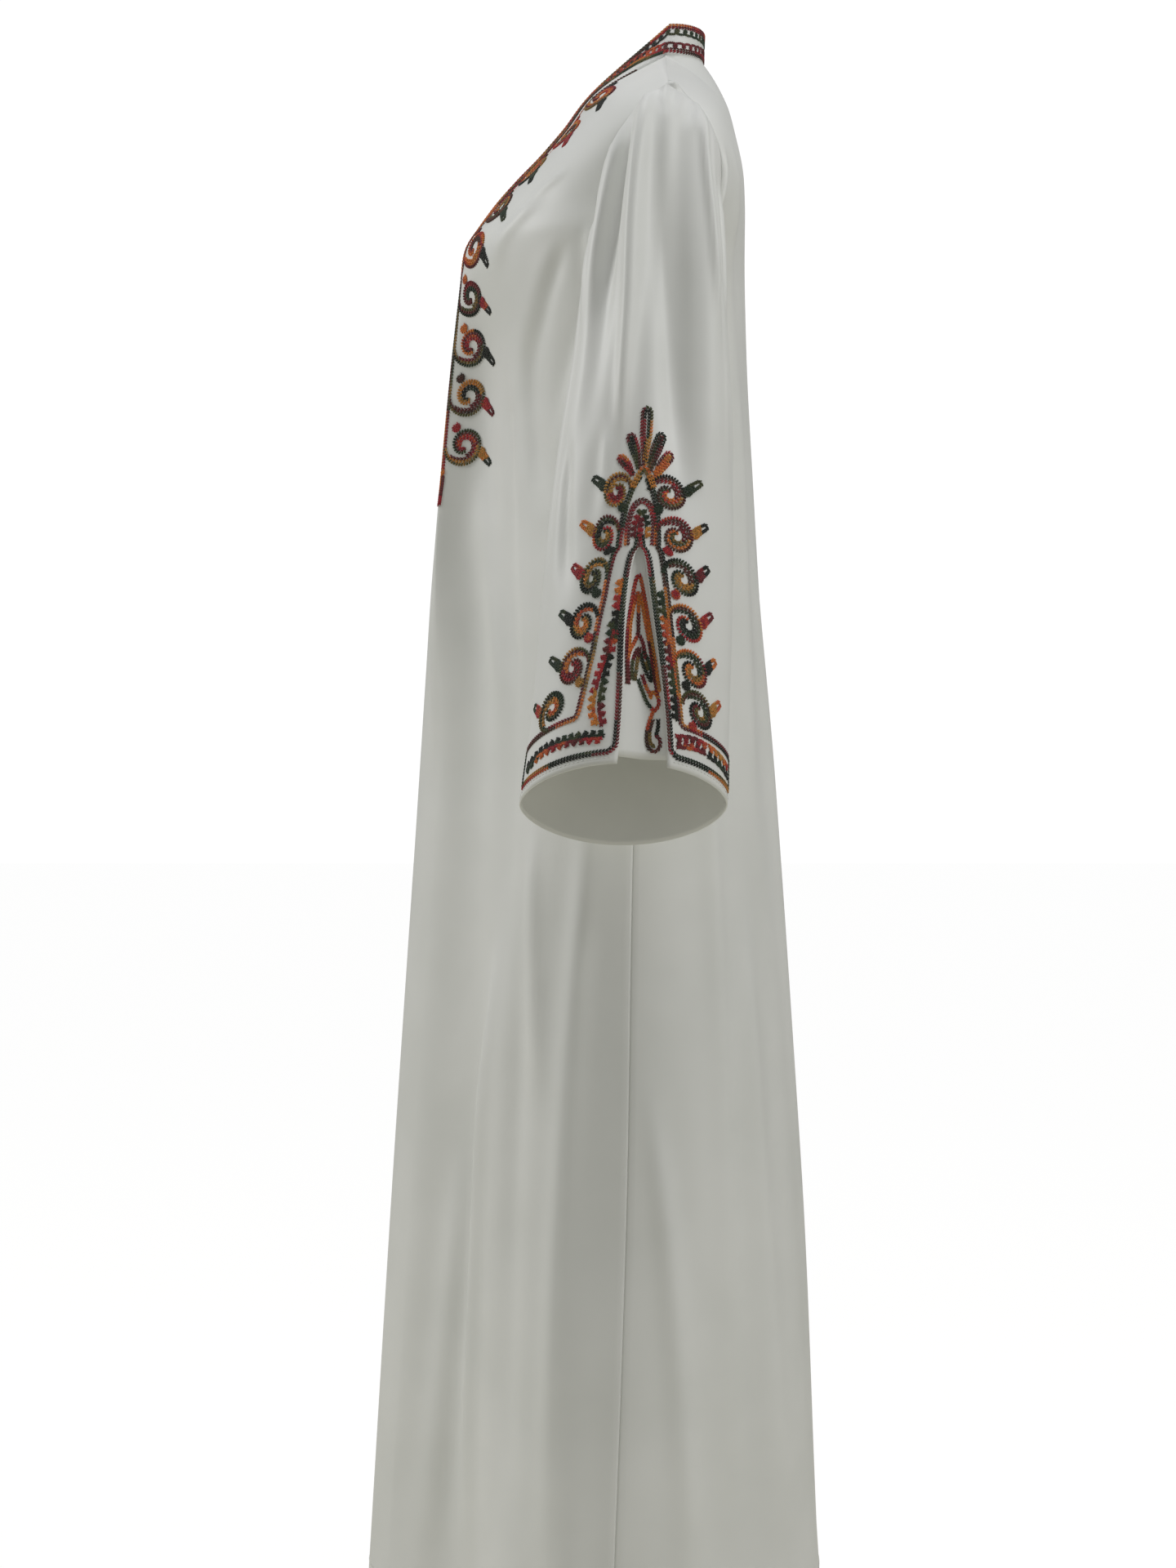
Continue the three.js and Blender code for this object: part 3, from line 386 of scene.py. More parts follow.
def slitMiddle(ring):
    return slit["lean"] * smooth((ring - slit["top"]) / (cuff - slit["top"]))


# Each crease runs from one place to another; its bow bends the line between them.
creaseNames = "out up toOut toUp width depth bow"
creaseShape = {"thin": 0.7, "thick": 1.25, "begins": 0.28, "ends": 0.4, "dip": 0.3, "dipAt": 2, "dipWide": 1.3}


# How far a table of creases lifts the cloth, at places measured in millimetres across and up it.
def creased(creases, across, up):
    shape = creaseShape
    lift = np.zeros_like(across)
    for c in rowsOf(creases):
        run = np.array([c["toOut"] - c["out"], c["toUp"] - c["up"]])
        long = math.hypot(*run)
        along = ((across - c["out"]) * run[0] + (up - c["up"]) * run[1]) / long**2
        aside = ((across - c["out"]) * run[1] - (up - c["up"]) * run[0]) / long - c["bow"] * 4 * along * (1 - along)
        width = c["width"] * mix(shape["thin"], shape["thick"], np.clip(along, 0, 1))
        ends = smooth(along / shape["begins"]) * smooth((1 - along) / shape["ends"])
        dip = np.exp(-(((aside - shape["dipAt"] * width) / (shape["dipWide"] * width)) ** 2))
        ridge = np.exp(-((aside / width) ** 2)) - shape["dip"] * dip
        lift += c["depth"] * ends * ridge
    return lift


def gridNormals(grid, hand):
    up, across = np.gradient(grid, axis=0), np.gradient(grid, axis=1)
    return unit(np.cross(across, up)) * hand


def lifted(grid, lift, hand):
    return grid + gridNormals(grid, hand) * lift[..., None]


def showPiece(name, bm, materials):
    mesh = bpy.data.meshes.new(name)
    bm.to_mesh(mesh)
    bm.free()
    for material in materials:
        mesh.materials.append(material)
    piece = bpy.data.objects.new(name, mesh)
    bpy.context.scene.collection.objects.link(piece)
    return piece


weldWithin = 0.0001


# A cloth from a grid of points: the operator makes the grid, and each corner goes to its own place.
def clothPiece(name, grid, flip, material, drop=None):
    rows, columns = grid.shape[:2]
    bm = bmesh.new()
    bmesh.ops.create_grid(bm, x_segments=columns - 1, y_segments=rows - 1, size=0.5)
    bm.verts.ensure_lookup_table()
    for vert, place in zip(bm.verts, grid.reshape(-1, 3) * mm):
        vert.co = place
    if drop is not None:
        bm.faces.ensure_lookup_table()
        bmesh.ops.delete(bm, geom=[bm.faces[i] for i in np.flatnonzero(drop.ravel())], context="FACES")
    bmesh.ops.remove_doubles(bm, verts=bm.verts[:], dist=weldWithin)
    for face in bm.faces:
        face.smooth = True
    if flip:
        bmesh.ops.reverse_faces(bm, faces=bm.faces[:])
    piece = showPiece(name, bm, [material])
    wall = piece.modifiers.new("wall", "SOLIDIFY")
    wall.thickness = robe["clothThick"] * mm
    wall.offset = -1
    wall.use_even_offset = False
    return piece


def nodeGroup(name, inputs, outputs):
    group = bpy.data.node_groups.new(name, "ShaderNodeTree")
    for kind, direction in ((inputs, "INPUT"), (outputs, "OUTPUT")):
        for socket, socketType in kind:
            group.interface.new_socket(name=socket, in_out=direction, socket_type=socketType)
    return group, group.nodes.new("NodeGroupInput"), group.nodes.new("NodeGroupOutput")


# A new node with its own sockets set, by name.
def addNode(nodes, kind, **sockets):
    made = nodes.new(kind)
    for socket, value in sockets.items():
        made.inputs[socket.replace("_", " ")].default_value = value
    return made


# The fine grain of crepe with a slower unevenness of the hanging cloth, as a normal and a mask.
def crepeGroup():
    group, given, result = nodeGroup(
        "crepeSurface",
        [("Place", "NodeSocketVector")],
        [("Normal", "NodeSocketVector"), ("Mask", "NodeSocketFloat")],
    )
    nodes, links = group.nodes, group.links
    grain = addNode(nodes, "ShaderNodeTexNoise", Scale=1400, Detail=2)
    slow = addNode(nodes, "ShaderNodeTexNoise", Scale=9, Detail=2.5, Roughness=0.45)
    links.new(given.outputs["Place"], grain.inputs["Vector"])
    links.new(given.outputs["Place"], slow.inputs["Vector"])
    soft = addNode(nodes, "ShaderNodeBump", Strength=0.5, Distance=0.004)
    links.new(slow.outputs["Fac"], soft.inputs["Height"])
    fine = addNode(nodes, "ShaderNodeBump", Strength=0.12, Distance=0.0003)
    links.new(grain.outputs["Fac"], fine.inputs["Height"])
    links.new(soft.outputs["Normal"], fine.inputs["Normal"])
    links.new(fine.outputs["Normal"], result.inputs["Normal"])
    links.new(slow.outputs["Fac"], result.inputs["Mask"])
    return group


def crepeCloth():
    look = {"light": (0.87, 0.875, 0.85, 1), "shade": (0.82, 0.828, 0.8, 1)}
    skinNumbers = {"Roughness": 0.48, "Specular IOR Level": 0.35, "Sheen Weight": 0.2, "Sheen Roughness": 0.4}
    material = bpy.data.materials.new("whiteCrepe")
    material.use_nodes = True
    nodes, links = material.node_tree.nodes, material.node_tree.links
    skin = nodes["Principled BSDF"]
    place = nodes.new("ShaderNodeTexCoord")
    surface = nodes.new("ShaderNodeGroup")
    surface.node_tree = crepeGroup()
    tone = nodes.new("ShaderNodeValToRGB")
    tone.color_ramp.elements[0].position = 0.35
    tone.color_ramp.elements[0].color = look["shade"]
    tone.color_ramp.elements[1].position = 0.65
    tone.color_ramp.elements[1].color = look["light"]
    links.new(place.outputs["Object"], surface.inputs["Place"])
    links.new(surface.outputs["Mask"], tone.inputs["Fac"])
    links.new(tone.outputs["Color"], skin.inputs["Base Color"])
    links.new(surface.outputs["Normal"], skin.inputs["Normal"])
    for socket, value in skinNumbers.items():
        skin.inputs[socket].default_value = value
    return material


# The colours that the yarn runs through, each at the tint that its stitches carry.
yarnTints = {
    "black": (0.04, (0.012, 0.014, 0.011)),
    "green": (0.15, (0.022, 0.042, 0.022)),
    "olive": (0.26, (0.085, 0.085, 0.03)),
    "ochre": (0.38, (0.5, 0.23, 0.045)),
    "orange": (0.49, (0.62, 0.17, 0.03)),
    "red": (0.6, (0.38, 0.02, 0.03)),
    "maroon": (0.72, (0.14, 0.018, 0.024)),
    "brown": (0.85, (0.085, 0.035, 0.022)),
    "darkest": (0.97, (0.014, 0.013, 0.012)),
}


def fibreGroup():
    group, given, result = nodeGroup(
        "yarnFibres",
        [("Place", "NodeSocketVector"), ("Colour", "NodeSocketColor")],
        [("Colour", "NodeSocketColor"), ("Normal", "NodeSocketVector")],
    )
    nodes, links = group.nodes, group.links
    noise = addNode(nodes, "ShaderNodeTexNoise", Scale=700, Detail=3)
    strength = addNode(nodes, "ShaderNodeMapRange", From_Min=0.3, From_Max=0.7, To_Min=0.65, To_Max=1.4)
    shade = nodes.new("ShaderNodeVectorMath")
    shade.operation = "SCALE"
    bumpy = addNode(nodes, "ShaderNodeBump", Strength=0.4, Distance=0.0003)
    links.new(given.outputs["Place"], noise.inputs["Vector"])
    links.new(noise.outputs["Fac"], strength.inputs["Value"])
    links.new(given.outputs["Colour"], shade.inputs[0])
    links.new(strength.outputs["Result"], shade.inputs["Scale"])
    links.new(noise.outputs["Fac"], bumpy.inputs["Height"])
    links.new(shade.outputs["Vector"], result.inputs["Colour"])
    links.new(bumpy.outputs["Normal"], result.inputs["Normal"])
    return group


def yarnMaterial(name, fibres, roughness):
    material = bpy.data.materials.new(name)
    material.use_nodes = True
    nodes, links = material.node_tree.nodes, material.node_tree.links
    skin = nodes["Principled BSDF"]
    place = nodes.new("ShaderNodeTexCoord")
    tint = nodes.new("ShaderNodeAttribute")
    tint.attribute_name = "tint"
    ramp = nodes.new("ShaderNodeValToRGB")
    stops = ramp.color_ramp.elements
    while len(stops) < len(yarnTints):
        stops.new(0.5)
    for stop, (position, colour) in zip(stops, yarnTints.values()):
        stop.position = position
        stop.color = (*colour, 1)
    surface = nodes.new("ShaderNodeGroup")
    surface.node_tree = fibres
    links.new(tint.outputs["Fac"], ramp.inputs["Fac"])
    links.new(place.outputs["Object"], surface.inputs["Place"])
    links.new(ramp.outputs["Color"], surface.inputs["Colour"])
    links.new(surface.outputs["Colour"], skin.inputs["Base Color"])
    links.new(surface.outputs["Normal"], skin.inputs["Normal"])
    skin.inputs["Roughness"].default_value = roughness
    skin.inputs["Specular IOR Level"].default_value = 0.3
    skin.inputs["Sheen Weight"].default_value = 0.15
    return material


crepe = crepeCloth()
fibres = fibreGroup()
neckYarn = yarnMaterial("neckYarn", fibres, 0.7)
frontYarn = yarnMaterial("frontYarn", fibres, 0.68)
sleeveYarn = yarnMaterial("sleeveYarn", fibres, 0.66)


panelGrid = {"skirtStep": 10.6, "placketStep": 8, "riseRows": 46, "panelColumns": 56, "bandColumns": 8}
seams = {"dip": 1.5, "dipWide": 4, "dipRows": 3, "edgeFrom": 12, "edgeTo": 10}
easing = {"rounds": 30, "rows": 15, "clear": 40}
panelShares = np.unique(np.r_[0, 0.008, 0.02, np.linspace(0.035, 0.965, panelGrid["panelColumns"]), 0.98, 0.992, 1])
bandShares = np.linspace(0, 1, panelGrid["bandColumns"] + 1)


def heightsBetween(low, high, step):
    return np.linspace(low, high, round((high - low) / step) + 1)


skirtRows = heightsBetween(robe["hem"], robe["placketEnd"], panelGrid["skirtStep"])
placketRows = heightsBetween(robe["placketEnd"], robe["armpit"], panelGrid["placketStep"])[1:]
levels = [(float(z), 0.0) for z in (*skirtRows, *placketRows)] + [
    (robe["armpit"], float(rise)) for rise in np.linspace(0, robe["riseTop"], panelGrid["riseRows"] + 1)[1:]
]
placketRow = len(skirtRows) - 1
armpitRow = placketRow + len(placketRows)
bandCount = panelGrid["bandColumns"]
mirror = np.array([-1, 1, 1])
sides = ((1, "Left"), (-1, "Right"))

# Creases of the panels: out is the share from the band's seam or centre back to the side, up is
# millimetres above the armpit, width and depth are millimetres.
frontCreases = {
    1: [
        (0.15, -170, 0.5, -500, 20, 6, 8), (0.62, -520, 0.7, -820, 11, 4.5, 4), (0.44, -620, 0.34, -1340, 17, 11, 8),
        (0.4, -230, 0.53, -760, 24, -7, 7), (0.6, -620, 0.62, -1330, 28, -10, 5),
        (0.22, -820, 0.13, -1330, 18, 6, -8), (0.86, -430, 0.82, -1330, 15, 6, 6), (0.64, 66, 0.24, -12, 12, 3.4, 9),
        (0.74, 24, 0.5, -110, 10, -3.6, 8), (0.74, 100, 0.42, 40, 9, 2.6, 5), (0.48, -50, 0.62, -250, 17, -5, 8),
        (0.83, -10, 0.68, -190, 8, 3.4, 5), (0.3, -90, 0.42, -330, 11, -3.5, -6), (0.9, 40, 0.8, -60, 6, 2.8, 3),
        (0.72, -240, 0.8, -470, 12, -4, 5),
    ],
    -1: [
        (0.2, -150, 0.46, -470, 21, 5.6, -9), (0.5, -470, 0.62, -860, 13, 4.8, 6),
        (0.36, -600, 0.3, -1340, 22, 8.5, -9), (0.16, -760, 0.1, -1330, 16, 5, 6),
        (0.58, -820, 0.56, -1330, 19, 7, -8), (0.8, -360, 0.84, -1330, 17, 6, 5), (0.66, 52, 0.3, -30, 11, 3.2, 8),
        (0.78, 14, 0.52, -90, 9, -3.4, 6), (0.76, 88, 0.5, 36, 8, 2.4, 4), (0.5, -70, 0.6, -270, 15, -4.6, -6),
        (0.86, -20, 0.74, -170, 8, 3.2, 4),
    ],
}
backCreases = {
    1: [
        (0.95, -760, 0.82, -1330, 14, 7, 6), (0.44, -40, 0.48, -640, 20, 6, 9), (0.56, -560, 0.5, -1340, 24, 9, -9),
        (0.24, -180, 0.2, -1340, 22, 7.5, 9), (0.76, -260, 0.7, -1330, 16, 6, 7), (0.82, 130, 0.56, -70, 13, 3.6, 8),
        (0.95, 130, 0.88, -20, 7, 3, 4), (0.66, 40, 0.6, -320, 12, -4, 6), (0.9, -60, 0.84, -520, 11, 4.5, -5),
    ],
    -1: [
        (0.92, -700, 0.86, -1330, 15, 6.5, -6), (0.4, -80, 0.42, -700, 21, 6, -8),
        (0.5, -620, 0.54, -1340, 22, 8.5, 9), (0.16, -120, 0.24, -1340, 20, 7, -9),
        (0.74, -200, 0.72, -1330, 17, 6, 6), (0.8, 120, 0.52, -90, 12, 3.4, 7), (0.93, 120, 0.86, -30, 7, 3, 4),
        (0.62, 20, 0.64, -300, 13, -4, -6),
    ],
}


# Millimetres along each row from a base column, and up the panel's middle column from a base row.
def measured(grid, column, baseRow, heightColumn=None):
    steps = np.linalg.norm(np.diff(grid, axis=1), axis=2)
    across = np.concatenate([np.zeros((len(grid), 1)), np.cumsum(steps, axis=1)], axis=1)
    across -= across[:, [column]]
    line = grid[:, column if heightColumn is None else heightColumn]
    up = arcOf(line)
    return across, np.broadcast_to((up - up[baseRow])[:, None], across.shape)


# Lays a panel half's creases, whose places across are shares of each row's own width.
def creasedHalf(grid, creases, fromColumn, hand):
    across, up = measured(grid, fromColumn, armpitRow, (fromColumn + grid.shape[1]) // 2)
    whole = across[:, [-1]]
    rows = table(creaseNames, creases)
    heights = up[:, 0]
    for out, height in (("out", "up"), ("toOut", "toUp")):
        rows[out] = rows[out] * np.interp(rows[height], heights, whole[:, 0])
    lift = creased(rows, np.maximum(across, 0), up)
    edges = smooth(np.maximum(across, 0) / seams["edgeFrom"]) * smooth((whole - across) / seams["edgeTo"])
    return lifted(grid, lift * edges, hand)


# Softens the turn of a panel's rows at the armpit's level, away from its seams.
def easedTurn(grid, share):
    soft = grid.copy()
    for _ in range(easing["rounds"]):
        soft[1:-1] = (soft[:-2] + 2 * soft[1:-1] + soft[2:]) / 4
    near = bump((np.arange(len(grid)) - armpitRow) / easing["rows"])[:, None]
    return mix(grid, soft, (near * share)[..., None])


def frontHalf(side):
    band = np.array([bandRow(level, bandShares[:-1]) for level in levels])
    panel = np.array([frontRow(level, panelShares, side) for level in levels])
    half = np.concatenate([band, panel], axis=1)
    across = measured(half, bandCount, armpitRow)[0]
    half = easedTurn(half, smooth(across / easing["clear"]) * smooth((across[:, [-1]] - across) / easing["clear"]))
    half = creasedHalf(half, frontCreases[side], bandCount, 1)
    across = measured(half, bandCount, armpitRow)[0]
    rowsUp = np.arange(len(levels)) - placketRow
    above = smooth((rowsUp + seams["dipRows"]) / seams["dipRows"])[:, None]  # no seam below the placket
    dip = bump(across / seams["dipWide"]) * above + bump((across - across[:, [-1]]) / seams["dipWide"])
    return lifted(half, -seams["dip"] * dip, 1)


def backHalf(side):
    half = np.array([backRow(level, panelShares, side) for level in levels])
    across = measured(half, 0, armpitRow)[0]
    half = easedTurn(half, smooth((across[:, [-1]] - across) / easing["clear"]))
    half = creasedHalf(half, backCreases[side], 0, -1)
    across = measured(half, 0, armpitRow)[0]
    return lifted(half, -seams["dip"] * bump((across - across[:, [-1]]) / seams["dipWide"]), -1)


# Every half is worked out on the left; this puts it on its own side.
def onSide(grid, side):
    return grid if side > 0 else grid * mirror


def bothHalves(left, right):
    return np.concatenate([(right * mirror)[:, :0:-1], left], axis=1)


def frontPanel():
    halves = {side: frontHalf(side) for side in (1, -1)}
    grid = bothHalves(halves[1], halves[-1])
    centre = halves[1].shape[1] - 1
    drop = np.zeros((grid.shape[0] - 1, grid.shape[1] - 1), bool)
    drop[placketRow:, centre - bandCount : centre + bandCount] = True
    piece = clothPiece("robeFront", grid, False, crepe, drop)
    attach(piece, "root")
    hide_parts("front")
    return piece, grid, halves


def backPanel():
    halves = {side: backHalf(side) for side in (1, -1)}
    grid = bothHalves(halves[1], halves[-1])
    piece = clothPiece("robeBack", grid, True, crepe)
    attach(piece, "root")
    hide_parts("back")
    return piece, grid


napeShares = np.linspace(0, 1, 34)[1:]
split = 0.3  # how far the placket's edges stay from the middle


# The band's left leg, from the placket's end up the front and over the shoulder to the centre back.
def bandHalf(front):
    rise = front[:, : bandCount + 1][placketRow:]
    around = np.array([napeRow(share, bandShares) for share in napeShares])
    half = np.concatenate([rise, around])
    half[:, 0, 0] = np.where(half[:, 0, 1] < 0, np.maximum(half[:, 0, 0], split), half[:, 0, 0])
    return half


def neckBand(halves):
    legs = {side: bandHalf(halves[side]) for side in (1, -1)}
    grid = np.concatenate([legs[1], (legs[-1] * mirror)[-2::-1]])
    piece = clothPiece("neckBand", grid, False, crepe)
    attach(piece, "root")
    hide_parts("neck_band")
    return piece, legs


front, frontGrid, frontHalves = frontPanel()
back, backGrid = backPanel()
band, bandLegs = neckBand(frontHalves)
print("abaya: front, back and neck band made")


sleeveGrid = {
    "columns": 128,
    "head": [0, 0.03, 0.06, 0.09, 0.12, 0.16, 0.2, 0.25, 0.31],
    "easedRows": 36,
    "easedEnd": 2.4,
    "armRows": 60,
    "slitRows": 44,
}
sleeveCreases = {
    1: [
        (16.5, 6.9, 18, 1.2, 11, 8.5, -2), (41, 1.2, 50, 5.6, 16, -8, 3), (-31, 7.4, -1, 2.7, 24, -10.5, -5),
        (-57, 5.4, -41, 1.1, 7, 5.6, -4), (-70, 6.8, -58, 2.4, 9, 3.4, 3), (64, 6.1, 44, 8.1, 10, -3.8, 4),
        (27, 6.2, 22, 7.6, 9, 3, -2), (1, 1.2, -2, 2.3, 6, 3, 1), (-15, 1.2, -17, 2.4, 6, 2.8, -1),
        (66, 1.4, 74, 3.6, 6, 2.8, 2), (-33, 1.3, -37, 2.6, 7, 2.8, -2), (82, 3.1, 73, 5, 5, 3.2, 2),
        (84, 2.2, 88, 9.4, 7, 3.6, 3), (-80, 2.5, -72, 5.5, 9, 4, -4), (-110, 3, -104, 7.2, 14, 4.4, 5),
        (122, 3.2, 112, 6.8, 12, 4, -4), (152, 2.6, 157, 7.4, 14, 4.4, 5), (-150, 3.1, -145, 8.2, 13, 4, -5),
    ],
    -1: [
        (18, 6.2, 14, 1.2, 11, 7, 3), (48, 1.6, 56, 5, 17, -6.4, 5), (28, 2.2, 40, 5.4, 9, -3, 4),
        (-40, 6.2, -8, 2, 22, -6.4, -8), (-18, 3.7, -30, 6.2, 9, -3, 4), (-60, 5.6, -46, 1.3, 7, 5.2, 4),
        (60, 6, 46, 8, 10, -3.4, 4), (-4, 1.2, -8, 2.7, 6, 3, 1), (-20, 1.2, -22, 2.9, 6, 2.8, -1),
        (34, 1.3, 38, 2.6, 6, 2.6, 2), (82, 2.4, 86, 9.2, 7, 3.6, 3), (-82, 2.7, -76, 5.8, 10, 3.8, -4),
        (-112, 3.2, -108, 7, 13, 4, 4), (118, 3, 112, 7, 13, 4, -5), (150, 2.8, 154, 7.6, 13, 4.2, 4),
        (-152, 3, -148, 8, 14, 4, -4),
    ],
}


# Millimetres to a degree and to a ring, for the places of the creases.
sleeveMeasure = {"out": 1.7, "up": 87}
headRidge = {"aside": 1.4, "top": 6.5, "turn": 5, "reach": 85, "ring": 0.12, "wide": 0.11}


# Lifts a tube whose first and last columns are one line, so that they stay one.
def liftedRound(grid, lift):
    grid, lift = (np.concatenate([part[:, -3:-1], part, part[:, 1:3]], axis=1) for part in (grid, lift))
    return lifted(grid, lift, 1)[:, 2:-2]


def sleeveHalf(side):
    eased = np.linspace(0.38, sleeveGrid["easedEnd"], sleeveGrid["easedRows"])
    arm = np.linspace(sleeveGrid["easedEnd"], slit["top"], sleeveGrid["armRows"])
    bell = np.linspace(slit["top"], cuff, sleeveGrid["slitRows"])
    rings = np.unique(np.r_[sleeveGrid["head"], eased, arm, bell])
    rows = []
    for ring in rings:
        half = slitHalf(ring)
        angles = slitMiddle(ring) + half + (360 - 2 * half) * np.linspace(0, 1, sleeveGrid["columns"] + 1)
        p = sleevePoint(ring, angles)
        turned = np.mod(angles + 540, 360) - 180
        rows.append(np.concatenate([p, turned[:, None], np.full((len(angles), 1), ring)], axis=1))
    rows = np.array(rows)
    grid, turned, ring = rows[..., :3], rows[..., 3], rows[..., 4]
    out, up = sleeveMeasure["out"], sleeveMeasure["up"]
    creases = table(creaseNames, sleeveCreases[side])
    for name, scale in (("out", out), ("toOut", out), ("up", up), ("toUp", up)):
        creases[name] = creases[name] * scale
    grid = liftedRound(grid, creased(creases, turned * out, ring * up))
    # The eased head stands up just below its seam.
    head = headRidge
    high = mix(head["aside"], head["top"], bump((turned - head["turn"]) / head["reach"]))
    return liftedRound(grid, high * bump((ring - head["ring"]) / head["wide"]))


def sleeve(side, word):
    grid = sleeveHalf(side)
    piece = clothPiece("bellSleeve" + word, onSide(grid, side), side < 0, crepe)
    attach(piece, "root")
    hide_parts("sleeve_" + word.lower())
    return piece, grid


godetShape = {"rows": 30, "columns": 25, "wall": 1.5, "clear": 0.4, "down": 0.3}


def godet(side, word):
    rows = []
    shape = godetShape
    for share in np.linspace(0, 1, shape["rows"]):
        ring = mix(slit["godetTop"], cuff - slit["hemRise"], share)
        reach = slitHalf(ring) + slit["tuck"]
        across = np.linspace(-1, 1, shape["columns"])
        p = sleevePoint(ring, slitMiddle(ring) + reach * across)
        hollow = slit["recess"] * smooth(share * 2) * bump(across)
        sunk = shape["wall"] + robe["seamGap"] + shape["clear"] + hollow
        rows.append(p - np.stack([sunk, np.zeros_like(sunk), shape["down"] * sunk], -1))
    grid = np.array(rows)
    piece = clothPiece("cuffGodet" + word, onSide(grid, side), side < 0, crepe)
    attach(piece, "root")
    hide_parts("godet_" + word.lower())
    return piece, grid


sleeves = {side: sleeve(side, word) for side, word in sides}
godets = {side: godet(side, word) for side, word in sides}
print("abaya: sleeves and godets made")


# A patch of cloth where up is millimetres along a base column and out is millimetres along the rows.
class Chart:
    def __init__(self, grid, column, baseRow, hand):
        self.across, up = measured(grid, column, baseRow)
        self.heights = up[:, 0]
        self.grid = grid
        self.hand = hand

    def places(self, up, out):
        row = np.interp(up, self.heights, np.arange(len(self.heights)))
        low = np.minimum(row.astype(int), len(self.heights) - 2)
        share = (row - low)[:, None]
        ends = []
        for step in (0, 1):
            found = np.zeros((len(up), 3))
            for r in np.unique(low):
                mine = low == r
                arc, line = self.across[r + step], self.grid[r + step]
                for axis in range(3):
                    found[mine, axis] = np.interp(out[mine], arc, line[:, axis])
            ends.append(found)
        return mix(*ends, share)

    def frame(self, up, out):
        here = self.places(up, out)
        step = 0.8
        toUp = unit(self.places(up + step, out) - self.places(up - step, out))
        toOut = unit(self.places(up, out + step) - self.places(up, out - step))
        normal = unit(np.cross(toOut, toUp)) * self.hand
        return here, toUp, toOut, normal


# A stitch of a row lies as two grains aslant; a bead is one grain across it. Slants are degrees.
stitch = {"pitch": 3.1, "long": 2.05, "wide": 0.78, "high": 0.62, "apart": 0.62, "slant": 24, "sway": 0.07, "lift": 0.5}
bead = {"pitch": 2.3, "long": 1.7, "wide": 1.05, "high": 0.85, "slant": 76, "sway": 0.1, "lift": 0.6}
dye = {"marks": 17, "beyond": 60, "start": 8, "sway": 0.012, "least": 0.02, "most": 0.98}
chance = np.random.default_rng(4)


def grainMesh():
    bm = bmesh.new()
    bmesh.ops.create_icosphere(bm, subdivisions=1, radius=1)
    for face in bm.faces:
        face.smooth = True
    mesh = bpy.data.meshes.new("stitchGrain")
    bm.to_mesh(mesh)
    bm.free()
    return mesh


grain = grainMesh()


def along(path, pitch):
    path = np.asarray(path, float)
    arc = arcOf(path)
    count = max(2, round(arc[-1] / pitch))
    s = (np.arange(count) + 0.5) * arc[-1] / count
    at = lambda place: np.stack([np.interp(place, arc, path[:, k]) for k in (0, 1)], 1)
    return at(s), unit(at(s + 0.6) - at(s - 0.6)), s


